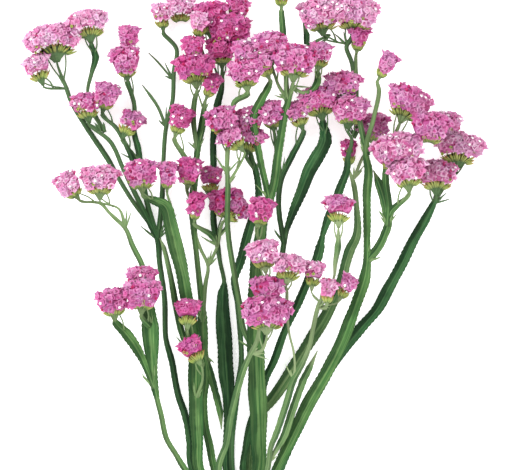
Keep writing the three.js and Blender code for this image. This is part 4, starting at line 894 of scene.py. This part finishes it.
def rubber_band():
    low, high = SLOT_LAYERS[0] - BAND_REACH, SLOT_LAYERS[3] + BAND_REACH
    half_x = 1.5 * SLOT_PITCH + SLOT_WIDTH / 2 + BAND_ROOM
    half_z, middle = (high - low) / 2 + 0.5, (high + low) / 2
    share = np.linspace(0, 1, BAND_TURNS * STRAND_STEPS + 1)
    crown = np.abs(np.sin(share * math.pi * BAND_TURNS)) ** 0.6
    outer = np.stack([BAND_WALL - BAND_GROOVE + BAND_GROOVE * crown, BAND_WIDTH * (share - 0.5)], -1)
    profile = np.vstack([[[0, -BAND_WIDTH / 2]], outer, [[0, BAND_WIDTH / 2]]])
    angle = np.arange(BAND_STEPS) / BAND_STEPS * 2 * math.pi
    c, s = np.cos(angle)[:, None], np.sin(angle)[:, None]
    out = profile[None, :, 0] + 0.15 * np.sin(3 * angle)[:, None] * (profile[None, :, 0] > 0)
    y = profile[None, :, 1] + 0.25 * np.sin(2 * angle + 1)[:, None]
    points = np.stack([(half_x + out) * np.sign(c) * np.sqrt(np.abs(c)), y,
                       middle + (half_z + out) * np.sign(s) * np.sqrt(np.abs(s))], -1)
    around = len(profile)
    faces = tube_faces(BAND_STEPS + 1, around) % (BAND_STEPS * around)
    mesh = Mesh()
    mesh.add(points, [faces])
    return mesh


def dusty_rubber(tree):
    dust = noise(tree, 240.0, 5.0, object_place(tree))
    colour = blend_colour(tree, spread_between(tree, dust, 0.4, 0.68), "#BE9560", "#D8BE92")
    return {"Base Color": colour, "Roughness": maths(tree, "MULTIPLY_ADD", dust, 0.4, 0.35),
            "Normal": bump(tree, dust, 0.0003, 0.5)}


piece = rubber_band().piece("rubber_band", finish("natural_rubber", dusty_rubber))
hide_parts("band")

# ---- Table, light and camera ------------------------------------------------------------------------
# The bunch lies on a plain, nearly white table under soft light, and the camera looks down on it.

TABLE_MIDDLE = (0, 0.2, 0)
VIEW_CENTRE = (0.0094, 0.2325)
VIEW_WIDTH = 0.37875
CAMERA_LENS = 300
SENSOR = 36
FLOWER_HEIGHT = 0.03


def white_table(tree):
    return {"Base Color": blend_colour(tree, noise(tree, 60.0, 4.0), "#F8F8F7", "#FBFBFA"), "Roughness": 0.9,
            "Specular IOR Level": 0.1, "Emission Color": (1, 1, 1, 1), "Emission Strength": 0.5}


bpy.ops.mesh.primitive_plane_add(size=8, location=TABLE_MIDDLE)
table = bpy.context.object
table.name = "table"
table.data.materials.append(finish("table_white", white_table))

world = bpy.data.worlds.new("studio")
world.use_nodes = True
world.node_tree.nodes["Background"].inputs["Color"].default_value = (1, 1, 1, 1)
world.node_tree.nodes["Background"].inputs["Strength"].default_value = 1.15
bpy.context.scene.world = world
bpy.context.scene.view_settings.view_transform = "Standard"


def softbox(name, place, size, power):
    data = bpy.data.lights.new(name, "AREA")
    data.shape, data.size, data.energy = "SQUARE", size, power
    lamp = bpy.data.objects.new(name, data)
    lamp.location = place
    lamp.rotation_mode = "QUATERNION"
    lamp.rotation_quaternion = (Vector(TABLE_MIDDLE) - Vector(place)).to_track_quat("-Z", "Y")
    bpy.context.scene.collection.objects.link(lamp)


softbox("key_light", (-1.1, 0.9, 1.6), 0.9, 34)
softbox("fill_light", (1.3, -0.3, 1.4), 1.2, 12)

camera_data = bpy.data.cameras.new("camera")
camera_data.lens, camera_data.sensor_width = CAMERA_LENS, SENSOR
camera = bpy.data.objects.new("camera", camera_data)
distance = VIEW_WIDTH * CAMERA_LENS / SENSOR
camera.location = (*VIEW_CENTRE, FLOWER_HEIGHT + distance)
bpy.context.scene.collection.objects.link(camera)
bpy.context.scene.camera = camera
